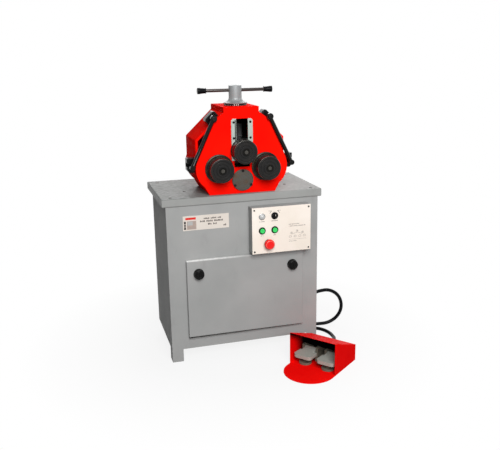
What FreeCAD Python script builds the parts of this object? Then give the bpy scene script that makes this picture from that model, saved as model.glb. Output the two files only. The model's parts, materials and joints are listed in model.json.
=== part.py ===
import FreeCAD, Part
import math
import os

import Sketcher

# Three-roll ring roller on a sheet-metal cabinet, with a guarded double foot switch.
# Lengths in millimetres and angles in degrees. While it is drawn, X=Y=0 is the middle of the
# table top, X runs to the right, Y to the back and Z up from the floor. Each sub-part's
# Placement then moves it so that the origin is under the middle of the whole machine.

SIZES = {
    # table top, a folded tray
    "top_width": 640.0,
    "top_depth": 392.0,
    "top_height": 663.4,
    "top_sheet": 3.0,
    "lip_height": 31.0,
    "screw_inset_x": 37.0,
    "screw_inset_front": 26.0,
    "screw_inset_rear": 45.0,
    "middle_screw_x": 209.0,
    "middle_screw_y": 65.0,
    "table_screw_shank": 3.0,
    "table_screw_head": 6.0,
    "table_screw_lift": 1.6,
    # cabinet
    "cabinet_width": 610.0,
    "cabinet_front": 192.0,
    "cabinet_back": 153.0,
    "cabinet_sheet": 2.5,
    "flange_width": 30.0,
    "leg_height": 52.0,
    "leg_width": 44.7,
    "foot_inset": 28.0,
    "foot_hole_radius": 5.5,
    "foot_hole_inset": 36.0,
    "back_cover_inset": 36.0,
    "back_cover_lap": 14.0,
    "floor_pan_lift": 33.0,
    # door with two quarter-turn knobs
    "door_width": 474.0,
    "door_to_box": 11.0,
    "door_bottom": 102.0,
    "door_thickness": 14.0,
    "door_sheet": 2.0,
    "door_lap": 14.0,
    "door_gap": 1.0,
    "knob_radius": 21.0,
    "knob_depth": 22.0,
    "knob_shaft": 5.0,
    "knob_inset": 46.0,
    "knob_drop": 55.0,
    "tongue_length": 42.0,
    "hinge_radius": 3.0,
    "hinge_rise": 8.0,
    "hinge_setback": 6.5,
    "hinge_ear_radius": 5.0,
    "hinge_ear_width": 8.0,
    "hinge_ear_inset": 30.0,
    "running_gap": 0.05,
    "seat_gap": 0.3,
    # name plate
    "plate_width": 180.0,
    "plate_height": 57.0,
    "plate_inset": 63.0,
    "plate_drop": 127.4,
    "plate_sheet": 1.0,
    # control box and its devices
    "box_inset": 48.5,
    "box_width": 239.5,
    "box_drop": 232.4,
    "box_height": 183.0,
    "box_depth": 46.0,
    "box_sheet": 2.0,
    "face_sheet": 3.0,
    "face_screw_inset": 9.0,
    "face_screw_radius": 3.5,
    "small_screw_shank": 2.0,
    "small_screw_length": 9.0,
    "small_screw_lift": 1.6,
    "device_radius": 11.0,
    "device_depth": 18.0,
    "bezel_radius": 14.2,
    "bezel_height": 3.0,
    "button_radius": 9.4,
    "button_height": 4.5,
    "button_travel": 4.0,
    "handle_width": 6.0,
    "handle_height": 8.0,
    "lamp_radius": 13.0,
    "lamp_height": 9.0,
    "first_column": 40.0,
    "second_column": 91.0,
    "top_row": 148.0,
    "button_row": 92.0,
    "stop_column": 65.0,
    "stop_row": 39.0,
    "stop_radius": 20.0,
    "stop_height": 14.0,
    "stop_neck": 8.0,
    "stop_travel": 5.0,
    "stop_collar_radius": 17.0,
    "stop_collar_height": 6.0,
    # head casing
    "case_front": 178.0,
    "case_plate": 25.0,
    "case_length": 212.0,
    "case_wall": 10.0,
    "case_rear_wall": 20.0,
    "case_height": 330.0,
    "case_top_half": 69.0,
    "case_top_edge": 20.4,
    "shoulder_half": 175.0,
    "shoulder_height": 208.6,
    "case_base_half": 131.0,
    "lobe_radius": 89.5,
    "slot_gap": 0.2,
    "flank_angle": 22.6,
    "flank_length": 151.2,
    "base_angle": 50.0,
    "slot_low": 102.6,
    "slot_high": 285.6,
    # rolls and shafts
    "roll_spread": 91.5,
    "roll_height": 100.6,
    "top_roll_rise": 65.5,
    "roll_radius": 45.0,
    "roll_nose": 6.0,
    "roll_step": 2.0,
    "shaft_radius": 15.0,
    "shaft_end_drop": 2.0,
    "bearing_depth": 17.0,
    "hex_radius": 8.0,
    "hex_height": 3.0,
    "roll_reach": 60.0,
    "flange_radius": 55.0,
    "flange_thickness": 7.0,
    "spigot_radius": 40.0,
    "spigot_length": 28.0,
    "boss_radius": 46.5,
    "boss_thickness": 6.0,
    # sliding carriage, its strips and its screw
    "carriage_half": 29.8,
    "carriage_setback": 0.2,
    "carriage_low": 45.0,
    "carriage_high": 45.0,
    "carriage_depth": 124.0,
    "nose_half": 22.6,
    "tower_height": 95.5,
    "nut_half": 20.0,
    "strip_inner": 23.0,
    "strip_outer": 42.0,
    "strip_thickness": 6.0,
    "strip_top": 286.6,
    "strip_split": 200.0,
    "strip_low": 128.6,
    "strip_screw_inset": 13.5,
    "strip_screw_radius": 4.5,
    "screw_axis": 92.0,
    "screw_radius": 10.0,
    "screw_neck": 12.0,
    "screw_end": 227.6,
    "collar_radius": 16.0,
    "collar_height": 8.0,
    "scale_radius": 44.0,
    "scale_height": 7.6,
    "hub_radius": 25.0,
    "hub_flare": 46.0,
    "hub_rim": 3.0,
    "hub_edge": 2.0,
    "hub_height": 67.5,
    "hub_bore_depth": 39.0,
    "bar_height": 387.6,
    "bar_radius": 6.5,
    "bar_length": 280.0,
    "grip_radius": 12.0,
    "grip_waist": 9.5,
    "grip_length": 33.0,
    "grip_overlap": 25.0,
    "grip_chamfer": 2.0,
    # gears, drive shaft and chain
    "gear_module": 3.0,
    "roll_teeth": 44.0,
    "pinion_teeth": 25.0,
    "gear_face": 30.0,
    "gear_front": 45.0,
    "drive_radius": 12.5,
    "cover_radius": 42.0,
    "cover_spigot": 26.0,
    "cover_plate": 6.0,
    "cover_spigot_length": 22.0,
    "cover_circle": 37.0,
    "cap_screw_radius": 5.0,
    "cap_screw_height": 5.0,
    "chain_pitch": 12.7,
    "shaft_sprocket_teeth": 17.0,
    "motor_sprocket_teeth": 13.0,
    "sprocket_width": 7.0,
    "chain_width": 10.0,
    "chain_plane": 6.0,
    "chain_height": 9.0,
    "motor_shaft_drop": 195.6,
    # gearmotor under the table
    "gearbox_width": 150.0,
    "gearbox_depth": 105.0,
    "gearbox_gap": 11.0,
    "gearbox_below": 75.0,
    "motor_radius": 60.0,
    "motor_length": 190.0,
    "motor_shaft_radius": 12.5,
    "motor_shaft_nose": 3.0,
    "shaft_seat": 28.0,
    # side arms and their blocks
    "block_start": 17.0,
    "block_length": 51.0,
    "block_thickness": 28.0,
    "block_depth": 41.0,
    "block_corner": 6.0,
    "pivot_radius": 5.0,
    "pivot_head": 8.0,
    "stud_seat": 18.0,
    "stud_head_height": 5.0,
    "arm_angle": 25.67,
    "arm_length": 199.7,
    "arm_radius": 7.7,
    "eye_radius": 12.5,
    "eye_thickness": 16.0,
    "arm_lift": 0.3,
    "ball_radius": 10.0,
    "latch_radius": 5.0,
    "latch_gap": 1.2,
    "latch_seat": 28.0,
    "latch_block_outer": 210.0,
    "latch_block_low": 86.6,
    "latch_block_height": 56.0,
    "latch_block_corner": 10.0,
    "latch_block_depth": 33.0,
    # foot switch
    "pedal_x": 134.6,
    "pedal_y": -340.0,
    "pedal_turn": -51.3,
    "guard_width": 200.0,
    "guard_depth": 170.0,
    "guard_front_height": 131.0,
    "guard_rear_height": 66.0,
    "guard_sheet": 2.0,
    "apron_straight": 18.0,
    "pad_width": 76.0,
    "pad_inset": 12.0,
    "pad_hinge_height": 46.0,
    "pin_behind_edge": 80.0,
    "pad_setback": 6.0,
    "pad_depth": 54.0,
    "pad_corner": 14.0,
    "pad_top": 44.0,
    "pad_thickness": 14.0,
    "neck_width": 50.0,
    "neck_thickness": 12.0,
    "neck_overlap": 12.0,
    "knuckle_radius": 8.0,
    "ear_thickness": 10.0,
    "casting_front": 66.0,
    "casting_back": 152.0,
    "casting_height": 22.0,
    "ear_top": 60.0,
    "pedal_pin_radius": 4.0,
    "cup_radius": 25.0,
    "cup_height": 8.0,
    "cup_place": 35.0,
    "bumper_radius": 7.0,
    "bumper_height": 8.0,
    "casting_gap": 1.0,
    # foot switch cable
    "cable_radius": 7.5,
    "gland_radius": 12.0,
    "gland_length": 18.0,
    "gland_tail": 4.0,
    "gland_y": -50.0,
    "gland_z": 168.0,
    "pedal_gland_x": 60.0,
    "pedal_gland_z": 25.0,
}

# Points of the cable between its two glands; the ends come from the glands themselves.
CABLE_POINTS = [
    (348.0, -50.0, 168.0),
    (375.0, -50.0, 174.0),
    (417.0, -50.0, 175.5),
    (456.5, -48.0, 153.0),
    (480.5, -44.0, 116.0),
    (485.5, -39.0, 71.5),
    (466.0, -33.0, 31.5),
    (427.0, -27.0, 7.7),
    (379.0, -25.0, 7.7),
    (335.0, -13.0, 7.7),
    (303.0, 18.0, 7.7),
    (291.0, 62.0, 7.7),
    (259.0, 94.0, 7.7),
    (215.0, 106.0, 7.7),
    (171.0, 94.0, 7.7),
    (139.0, 62.0, 7.7),
    (127.0, 18.0, 7.7),
    (139.0, -26.0, 7.7),
    (171.0, -58.0, 7.7),
    (216.0, -70.0, 7.7),
    (271.0, -66.0, 9.5),
    (325.0, -67.0, 14.0),
    (365.0, -89.0, 13.0),
    (389.0, -127.0, 9.5),
    (390.5, -172.0, 7.7),
    (380.0, -212.0, 15.0),
    (350.053, -244.271, 25.0),
]


class Size:
    """A number together with the spreadsheet expression that gives it."""

    def __init__(self, number, text):
        self.number = float(number)
        self.text = text

    def _join(self, other, sign, number):
        other = as_size(other)
        return Size(number(self.number, other.number), f"({self.text} {sign} {other.text})")

    def __add__(self, other):
        return self._join(other, "+", lambda a, b: a + b)

    def __radd__(self, other):
        return as_size(other) + self

    def __sub__(self, other):
        return self._join(other, "-", lambda a, b: a - b)

    def __rsub__(self, other):
        return as_size(other) - self

    def __mul__(self, other):
        return self._join(other, "*", lambda a, b: a * b)

    def __rmul__(self, other):
        return as_size(other) * self

    def __truediv__(self, other):
        return self._join(other, "/", lambda a, b: a / b)

    def __neg__(self):
        return as_size(0) - self


def as_size(value):
    """A plain number becomes a Size whose expression is the number itself."""
    if isinstance(value, Size):
        return value
    return Size(value, repr(float(value)))


def sine(angle):
    """Sine of a Size in degrees."""
    return Size(math.sin(math.radians(angle.number)), f"sin({angle.text} * 1 deg)")


def cosine(angle):
    """Cosine of a Size in degrees."""
    return Size(math.cos(math.radians(angle.number)), f"cos({angle.text} * 1 deg)")


def root(value):
    """Square root of a Size."""
    return Size(math.sqrt(value.number), f"sqrt({value.text})")


doc = FreeCAD.newDocument("RingRoller")
sheet = doc.addObject("Spreadsheet::Sheet", "sizes")
for row, (alias, number) in enumerate(SIZES.items(), start=1):
    sheet.set(f"A{row}", alias)
    sheet.set(f"B{row}", repr(number))
    sheet.setAlias(f"B{row}", alias)
doc.recompute()


def size(alias):
    """The Size of one named cell."""
    return Size(float(sheet.get(alias)), f"sizes.{alias}")


def bind(thing, prop, value):
    """Tie one property of an object to the sheet."""
    thing.setExpression(prop, as_size(value).text)


# ---------------------------------------------------------------- places used by many pieces

top = size("top_height")
front = -size("cabinet_front")
back = size("cabinet_back")
case_front = -size("case_front")
plate_back = case_front + size("case_plate")
case_back = case_front + size("case_length")
case_top = top + size("case_height")
roll_x = size("roll_spread")
roll_z = top + size("roll_height")
top_roll_z = roll_z + size("top_roll_rise")
gear_distance = size("gear_module") * (size("roll_teeth") + size("pinion_teeth")) / 2
drive_z = roll_z - root(gear_distance * gear_distance - roll_x * roll_x)
motor_shaft_z = drive_z - size("motor_shaft_drop")
roll_front = case_front - size("roll_reach")
face_front = front - size("box_depth") - size("face_sheet")
door_front = front - size("door_gap") - size("door_thickness")
gap = size("running_gap")

# The foot switch reaches further than the table to the right and to the front.
guard_corner_x = (
    size("pedal_x")
    + size("guard_width") * cosine(size("pedal_turn"))
    - size("guard_depth") * sine(size("pedal_turn"))
)
apron_x = size("guard_width") / 2
apron_front_y = (
    size("pedal_y")
    + apron_x * sine(size("pedal_turn"))
    - size("apron_straight") * cosine(size("pedal_turn"))
    - apron_x
)
origin_x = (guard_corner_x - size("top_width") / 2) / 2
origin_y = (apron_front_y + size("top_depth") / 2) / 2

labels = []


def place(piece, x=0, y=0, z=0, axis=None, angle=0):
    """Put a finished sub-part at its place, measured from the machine's origin."""
    bind(piece, "Placement.Base.x", as_size(x) - origin_x)
    bind(piece, "Placement.Base.y", as_size(y) - origin_y)
    bind(piece, "Placement.Base.z", z)
    if axis is not None:
        piece.Placement.Rotation = FreeCAD.Rotation(FreeCAD.Vector(*axis), as_size(angle).number)
        piece.setExpression("Placement.Rotation.Angle", f"{as_size(angle).text} * 1 deg")
    labels.append(piece.Label)
    return piece


# ---------------------------------------------------------------- PartDesign helpers

def new_body(label):
    """An empty PartDesign body."""
    body = doc.addObject("PartDesign::Body", label)
    body.Label = label
    return body


def sketch_at(body, plane, offset):
    """A sketch on one of the body's own origin planes, moved along its normal."""
    sketch = body.newObject("Sketcher::SketchObject", "Sketch")
    for feature in body.Origin.OriginFeatures:
        if feature.Role == plane:
            sketch.AttachmentSupport = (feature, [""])
    sketch.MapMode = "FlatFace"
    bind(sketch, "AttachmentOffset.Base.z", offset)
    return sketch


def fix_point(sketch, edge, end, point):
    """Dimension one end of a sketch edge from the sketch's origin."""
    for kind, value in (("DistanceX", point[0]), ("DistanceY", point[1])):
        value = as_size(value)
        if abs(value.number) < 1e-9:
            target = -2 if kind == "DistanceX" else -1
            sketch.addConstraint(Sketcher.Constraint("PointOnObject", edge, end, target))
            continue
        number = sketch.addConstraint(Sketcher.Constraint(kind, edge, end, value.number))
        bind(sketch, f"Constraints[{number}]", value)


def draw_outline(sketch, points):
    """A closed outline of straight edges through points, each a pair of Sizes."""
    flat = [FreeCAD.Vector(as_size(x).number, as_size(y).number, 0) for x, y in points]
    edges = []
    for start, end in zip(flat, flat[1:] + flat[:1]):
        edges.append(sketch.addGeometry(Part.LineSegment(start, end), False))
    for one, two in zip(edges, edges[1:] + edges[:1]):
        sketch.addConstraint(Sketcher.Constraint("Coincident", one, 2, two, 1))
    for edge, point in zip(edges, points):
        fix_point(sketch, edge, 1, point)


def draw_circle(sketch, x, y, radius):
    """A circle with its centre and radius dimensioned."""
    centre = FreeCAD.Vector(as_size(x).number, as_size(y).number, 0)
    normal = FreeCAD.Vector(0, 0, 1)
    edge = sketch.addGeometry(Part.Circle(centre, normal, as_size(radius).number), False)
    number = sketch.addConstraint(Sketcher.Constraint("Radius", edge, as_size(radius).number))
    bind(sketch, f"Constraints[{number}]", radius)
    fix_point(sketch, edge, 3, (x, y))


def box_outline(x0, y0, x1, y1):
    """The corners of an upright rectangle."""
    return [(x0, y0), (x1, y0), (x1, y1), (x0, y1)]


def draw(sketch, shapes):
    """Draw outlines (lists of points) and circles (x, y, radius) into one sketch."""
    for shape in shapes:
        if isinstance(shape, list):
            draw_outline(sketch, shape)
        else:
            draw_circle(sketch, *shape)


# Along Y a sketch lies on XZ, whose normal looks to the front, so a pad starts at its rear
# plane and a pocket at its front plane. Along X and Z a pad starts at its lower plane and a
# pocket at its upper one.
PLANES = {"x": "YZ_Plane", "y": "XZ_Plane", "z": "XY_Plane"}


def pad(body, along, low, high, *shapes):
    """Add a straight block of the given section between two planes."""
    offset = -as_size(high) if along == "y" else low
    sketch = sketch_at(body, PLANES[along], offset)
    draw(sketch, shapes)
    feature = body.newObject("PartDesign::Pad", "Pad")
    feature.Profile = sketch
    bind(feature, "Length", as_size(high) - low)
    return feature


def pocket(body, along, low, high, *shapes):
    """Cut a straight block of the given section between two planes."""
    offset = -as_size(low) if along == "y" else high
    sketch = sketch_at(body, PLANES[along], offset)
    draw(sketch, shapes)
    feature = body.newObject("PartDesign::Pocket", "Pocket")
    feature.Profile = sketch
    bind(feature, "Length", as_size(high) - low)
    return feature


def block(label, along, low, high, *shapes):
    """A body made of one pad."""
    body = new_body(label)
    pad(body, along, low, high, *shapes)
    return body


def turn(body, along, points):
    """Add a turned shape: points are (radius, place), or (place, radius) about the X axis."""
    plane = "XZ_Plane" if along == "z" else "XY_Plane"
    sketch = sketch_at(body, plane, 0)
    draw_outline(sketch, points)
    feature = body.newObject("PartDesign::Revolution", "Revolution")
    feature.Profile = sketch
    feature.ReferenceAxis = (sketch, ["H_Axis" if along == "x" else "V_Axis"])
    feature.Angle = 360
    return feature


def turned(label, along, points):
    """A body made of one turned shape about one of its own axes."""
    body = new_body(label)
    turn(body, along, points)
    return body


def mirrored_sides():
    """Name and sign of the two sides of the machine."""
    return (("left", -1), ("right", 1))


# ---------------------------------------------------------------- stand

def table_screw_places():
    """Two screws near the front edge, two near the rear edge and two in the middle."""
    edge_x = size("top_width") / 2 - size("screw_inset_x")
    edge_y = size("top_depth") / 2
    rows = (
        (edge_x, -edge_y + size("screw_inset_front")),
        (edge_x, edge_y - size("screw_inset_rear")),
        (size("middle_screw_x"), -size("middle_screw_y")),
    )
    return [(sign * x, y) for x, y in rows for sign in (-1, 1)]


def sprocket_radius(teeth):
    """Pitch radius of a chain sprocket."""
    return size("chain_pitch") / 2 / sine(as_size(180) / size(teeth))


def sprocket_tip(teeth):
    """Tip radius of a chain sprocket."""
    return sprocket_radius(teeth) + size("chain_pitch") * 0.28


def table_top():
    """Folded tray with a downward lip, slotted for the chain and bored for its screws."""
    half_x = size("top_width") / 2
    half_y = size("top_depth") / 2
    wall = size("top_sheet")
    low = top - size("lip_height")
    body = block("table_top", "z", low, top, box_outline(-half_x, -half_y, half_x, half_y))
    inner_x = half_x - wall
    inner_y = half_y - wall
    pocket(body, "z", low, top - wall, box_outline(-inner_x, -inner_y, inner_x, inner_y))
    slot_half = sprocket_tip("shaft_sprocket_teeth") + size("chain_height") + wall
    slot_y0 = -size("chain_plane") - size("chain_width") / 2 - wall
    slot_y1 = slot_y0 + size("chain_width") + 2 * wall
    pocket(body, "z", top - wall, top, box_outline(-slot_half, slot_y0, slot_half, slot_y1))
    shank = size("table_screw_shank") + gap
    pocket(body, "z", top - wall, top, *[(x, y, shank) for x, y in table_screw_places()])
    place(body)


def table_screws():
    """Low round-headed screws that hold the tray down."""
    body = new_body("table_screws")
    places = table_screw_places()
    head = size("table_screw_head")
    lift = size("table_screw_lift")
    pad(body, "z", top, top + lift, *[(x, y, head) for x, y in places])
    shank = size("table_screw_shank")
    pad(body, "z", top - size("top_sheet"), top, *[(x, y, shank) for x, y in places])
    place(body)


def leg_outline(sign, x_out, y_out, turn_y):
    """An angle-section leg whose corner stands at x_out, y_out."""
    wide = size("leg_width")
    wall = size("cabinet_sheet")
    x = sign * x_out
    x_in = sign * (x_out - wall)
    x_far = sign * (x_out - wide)
    y_in = y_out + turn_y * wall
    y_far = y_out + turn_y * wide
    return [(x, y_out), (x, y_far), (x_in, y_far), (x_in, y_in), (x_far, y_in), (x_far, y_out)]


def foot_outline(sign, x_out, y_out, turn_y):
    """The square plate under one leg."""
    wide = size("leg_width")
    x = sign * x_out
    x_far = sign * (x_out - wide)
    return [(x, y_out), (x, y_out + turn_y * wide), (x_far, y_out + turn_y * wide), (x_far, y_out)]


door_half = size("door_width") / 2
door_low = size("door_bottom")
door_high = size("top_height") - size("box_drop") - size("door_to_box")
door_back = front - size("door_gap")
rod_y = door_back - size("hinge_setback")
rod_z = door_low + size("hinge_rise")
cabinet_half = size("cabinet_width") / 2
cabinet_wall = size("cabinet_sheet")
cabinet_low = size("leg_height")
cabinet_high = top - size("top_sheet")
cover_half = cabinet_half - size("back_cover_inset")
cover_low = cabinet_low + size("floor_pan_lift")
cover_high = cabinet_high - size("flange_width")


def hinge_ear_places():
    """Where the ears of the door's hinge start, from left to right."""
    near = door_half - size("hinge_ear_inset")
    return (-near, near - size("hinge_ear_width"))


def cover_screw_places():
    """Screws of the rear cover, half a lap in from its edges."""
    x = cover_half - size("back_cover_lap") / 2
    z0 = cover_low + size("back_cover_lap") / 2
    z1 = cover_high - size("back_cover_lap") / 2
    middle = (z0 + z1) / 2
    return [(sign * x, z) for sign in (-1, 1) for z in (z0, middle, z1)]


def cabinet_body():
    """Welded cabinet on angle legs, open at the door, at the rear cover and on top."""
    half = cabinet_half
    wall = cabinet_wall
    outer = box_outline(-half, front, half, back)
    body = block("cabinet_body", "z", cabinet_low, cabinet_high, outer)
    inner = box_outline(-half + wall, front + wall, half - wall, back - wall)
    pocket(body, "z", cabinet_low, cabinet_high - wall, inner)
    flange = size("flange_width")
    mouth = box_outline(-half + flange, front + flange, half - flange, back - flange)
    pocket(body, "z", cabinet_high - wall, cabinet_high, mouth)
    pan = cabinet_low + size("floor_pan_lift")
    pad(body, "z", pan, pan + wall, inner)
    lap = size("door_lap")
    doorway = box_outline(-door_half + lap, door_low + lap, door_half - lap, door_high - lap)
    pocket(body, "y", front, front + wall, doorway)
    lap = size("back_cover_lap")
    rear = box_outline(-cover_half + lap, cover_low + lap, cover_half - lap, cover_high - lap)
    pocket(body, "y", back - wall, back, rear)
    shank = size("small_screw_shank") + gap
    pocket(body, "y", back - wall, back, *[(x, z, shank) for x, z in cover_screw_places()])
    rear_half = half - size("foot_inset")
    corners = [(s, x, y, t) for x, y, t in ((half, front, 1), (rear_half, back, -1)) for s in (-1, 1)]
    pad(body, "z", 0, cabinet_low, *[leg_outline(*corner) for corner in corners])
    pad(body, "z", 0, wall, *[foot_outline(*corner) for corner in corners])
    hole_x = half - size("foot_hole_inset")
    hole_y = size("leg_width") / 2
    holes = [(s * hole_x, y, size("foot_hole_radius")) for s in (-1, 1)
             for y in (front + hole_y, back - hole_y)]
    pocket(body, "z", 0, wall, *holes)
    ear = size("hinge_ear_radius")
    for start in hinge_ear_places():
        end = start + size("hinge_ear_width")
        pad(body, "x", start, end, box_outline(rod_y, rod_z - ear, front, rod_z + ear))
        pad(body, "x", start, end, (rod_y, rod_z, ear))
        pocket(body, "x", start, end, (rod_y, rod_z, size("hinge_radius")))
    hole = size("gland_radius") * 0.6 + gap
    pocket(body, "x", half - wall, half, (size("gland_y"), size("gland_z"), hole))
    place(body)


def back_panel():
    """Screwed rear cover with two rows of cooling slots."""
    wall = cabinet_wall
    outline = box_outline(-cover_half, cover_low, cover_half, cover_high)
    body = block("back_panel", "y", back, back + wall, outline)
    slots = []
    pitch = cover_half / 6
    for row in (0.3, 0.7):
        middle = cover_low + (cover_high - cover_low) * row
        for column in range(-3, 4):
            x = pitch * column
            slots.append(box_outline(x - wall, middle - pitch * 0.6, x + wall, middle + pitch * 0.6))
    pocket(body, "y", back, back + wall, *slots)
    shank = size("small_screw_shank") + gap
    pocket(body, "y", back, back + wall, *[(x, z, shank) for x, z in cover_screw_places()])
    place(body)


knob_x = door_half - size("knob_inset")
knob_z = door_high - size("knob_drop")


def door_panel():
    """Drop-down door: a pan whose lower rear corner is trimmed and notched to clear the cabinet."""
    face = door_front
    wall = size("door_sheet")
    outline = box_outline(-door_half, door_low, door_half, door_high)
    body = block("door_panel", "y", face, door_back, outline)
    inner = box_outline(-door_half + wall, door_low + wall, door_half - wall, door_high - wall)
    pocket(body, "y", face + wall, door_back, inner)
    trim = [
        (door_back + 1, rod_z - wall),
        (door_back, rod_z - wall),
        (rod_y - size("hinge_radius"), door_low),
        (rod_y - size("hinge_radius"), door_low - 1),
        (door_back + 1, door_low - 1),
    ]
    pocket(body, "x", -door_half, door_half, trim)
    notch_front = rod_y - size("hinge_ear_radius") - gap
    notch = box_outline(notch_front, door_low - wall, door_back + wall, door_low + wall * 2)
    for start in hinge_ear_places():
        pocket(body, "x", start - gap, start + size("hinge_ear_width") + gap, notch)
    pocket(body, "x", -door_half, door_half, (rod_y, rod_z, size("hinge_radius") + gap))
    hole = size("knob_shaft") + gap
    pocket(body, "y", face, face + wall, *[(s * knob_x, knob_z, hole) for s in (-1, 1)])
    place(body)


def door_hinge_rod():
    """Rod that passes through the door's sides and the cabinet's ears."""
    body = block("door_hinge_rod", "x", -door_half, door_half, (rod_y, rod_z, size("hinge_radius")))
    place(body)


def door_knob(side, sign):
    """Quarter-turn knob, its shaft and its tongue, which hangs down while unlocked."""
    face = door_front
    nose = face - size("knob_depth")
    radius = size("knob_radius")
    shaft = size("knob_shaft")
    tongue = front + cabinet_wall + size("seat_gap")
    tail = tongue + cabinet_wall
    edge = size("door_sheet")
    body = turned(f"door_knob_{side}", "y", [
        (0, nose),
        (radius - edge, nose),
        (radius, nose + edge),
        (radius, face - size("seat_gap")),
        (shaft, face - size("seat_gap")),
        (shaft, tail),
        (0, tail),
    ])
    pad(body, "y", tongue, tail, box_outline(-shaft - 1, -size("tongue_length"), shaft + 1, shaft))
    place(body, x=sign * knob_x, z=knob_z)


def nameplate():
    """Thin plate on the left of the cabinet's front."""
    x0 = size("plate_inset") - cabinet_half
    z0 = size("top_height") - size("plate_drop")
    outline = box_outline(x0, z0, x0 + size("plate_width"), z0 + size("plate_height"))
    place(block("nameplate", "y", front - size("plate_sheet"), front, outline))


# ---------------------------------------------------------------- control box

box_x1 = cabinet_half - size("box_inset")
box_x0 = box_x1 - size("box_width")
box_z0 = size("top_height") - size("box_drop")
box_z1 = box_z0 + size("box_height")
face_back = face_front + size("face_sheet")


def device(column, row):
    """Place of a control-panel device: its column and row from the box's lower left corner."""
    return box_x0 + size(column), box_z0 + size(row)


lamp_at = device("first_column", "top_row")
selector_at = device("second_column", "top_row")
forward_at = device("first_column", "button_row")
reverse_at = device("second_column", "button_row")
stop_at = device("stop_column", "stop_row")


def face_screw_places():
    """The four corner screws of the control panel."""
    inset = size("face_screw_inset")
    return [(x, z) for x in (box_x0 + inset, box_x1 - inset) for z in (box_z0 + inset, box_z1 - inset)]


def control_box():
    """Sheet box with a boss for each screw of its front panel."""
    body = block("control_box", "y", face_back, front, box_outline(box_x0, box_z0, box_x1, box_z1))
    wall = size("box_sheet")
    inner = box_outline(box_x0 + wall, box_z0 + wall, box_x1 - wall, box_z1 - wall)
    pocket(body, "y", face_back, front - wall, inner)
    places = face_screw_places()
    pad(body, "y", face_back, front, *[(x, z, size("face_screw_inset") - wall / 2) for x, z in places])
    shank = size("small_screw_shank") + gap
    depth = size("small_screw_length")
    pocket(body, "y", face_back, face_back + depth, *[(x, z, shank) for x, z in places])
    place(body)


def control_faceplate():
    """Front panel of the control box, bored for its devices and screws."""
    outline = box_outline(box_x0, box_z0, box_x1, box_z1)
    body = block("control_faceplate", "y", face_front, face_back, outline)
    shank = size("small_screw_shank") + gap
    hole = size("device_radius") + gap
    holes = [(x, z, shank) for x, z in face_screw_places()]
    holes += [(x, z, hole) for x, z in (lamp_at, selector_at, forward_at, reverse_at, stop_at)]
    pocket(body, "y", face_front, face_back, *holes)
    place(body)


def panel_screws():
    """Small screws of the control panel in front and of the rear cover behind."""
    body = new_body("panel_screws")
    head = size("face_screw_radius")
    lift = size("small_screw_lift")
    shank = size("small_screw_shank")
    length = size("small_screw_length")
    places = face_screw_places()
    pad(body, "y", face_front - lift, face_front, *[(x, z, head) for x, z in places])
    pad(body, "y", face_front, face_front + length, *[(x, z, shank) for x, z in places])
    places = cover_screw_places()
    rear = back + cabinet_wall
    pad(body, "y", rear, rear + lift, *[(x, z, head) for x, z in places])
    pad(body, "y", rear - length, rear, *[(x, z, shank) for x, z in places])
    place(body)


def pilot_lamp():
    """Domed lens with its threaded body."""
    radius = size("lamp_radius")
    height = size("lamp_height")
    shank = size("device_radius")
    body = turned("pilot_lamp", "y", [
        (0, face_front - height),
        (radius * 0.6, face_front - height * 0.85),
        (radius * 0.9, face_front - height * 0.5),
        (radius, face_front - height * 0.3),
        (radius, face_front),
        (shank, face_front),
        (shank, face_front + size("device_depth")),
        (0, face_front + size("device_depth")),
    ])
    place(body, x=lamp_at[0], z=lamp_at[1])


def control_bezels():
    """Collars of the selector, of the two push buttons and of the stop button."""
    body = new_body("control_bezels")
    small = (selector_at, forward_at, reverse_at)
    lift = size("bezel_height")
    depth = face_front + size("device_depth")
    pad(body, "y", face_front - lift, face_front, *[(x, z, size("bezel_radius")) for x, z in small])
    collar = size("stop_collar_radius")
    pad(body, "y", face_front - size("stop_collar_height"), face_front, (*stop_at, collar))
    pad(body, "y", face_front, depth, *[(x, z, size("device_radius")) for x, z in (*small, stop_at)])
    bottom = depth - size("box_sheet")
    bore = size("button_radius") + gap
    pocket(body, "y", face_front - lift, bottom, *[(x, z, bore) for x, z in small])
    neck = size("stop_neck") + gap
    pocket(body, "y", face_front - size("stop_collar_height"), bottom, (*stop_at, neck))
    place(body)


def piston_end(travel):
    """Rear end of a plunger that stops short of its collar's floor when pressed."""
    return face_front + size("device_depth") - size("box_sheet") - travel - 1


def selector_knob():
    """Rotary switch: a disc with a raised handle across it."""
    nose = face_front - size("bezel_height") - size("box_sheet")
    radius = size("button_radius")
    body = block("selector_knob", "y", nose, piston_end(0), (0, 0, radius))
    half = size("handle_width") / 2
    long = radius * 0.95
    pad(body, "y", nose - size("handle_height"), nose, box_outline(-half, -long, half, long))
    place(body, x=selector_at[0], z=selector_at[1])


def push_button(name, at):
    """Flat push button in its collar."""
    nose = face_front - size("bezel_height") - size("button_height")
    radius = size("button_radius")
    tail = piston_end(size("button_travel"))
    body = turned(name, "y", [
        (0, nose), (radius * 0.9, nose), (radius, nose + radius * 0.1), (radius, tail), (0, tail),
    ])
    place(body, x=at[0], z=at[1])


def emergency_head():
    """Mushroom stop button on its neck."""
    rear = face_front - size("stop_collar_height") - size("stop_travel") - size("seat_gap")
    nose = rear - size("stop_height")
    radius = size("stop_radius")
    neck = size("stop_neck")
    tail = piston_end(size("stop_travel"))
    body = turned("emergency_head", "y", [
        (0, nose),
        (radius * 0.7, nose + size("stop_height") * 0.08),
        (radius * 0.95, nose + size("stop_height") * 0.3),
        (radius, nose + size("stop_height") * 0.55),
        (radius, rear),
        (neck, rear),
        (neck, tail),
        (0, tail),
    ])
    place(body, x=stop_at[0], z=stop_at[1])


# ---------------------------------------------------------------- drive under and in the head

chain_y = -size("chain_plane")
gearbox_front = chain_y + size("gearbox_gap") + size("chain_width") / 2
gearbox_middle = gearbox_front + size("gearbox_depth") / 2


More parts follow.
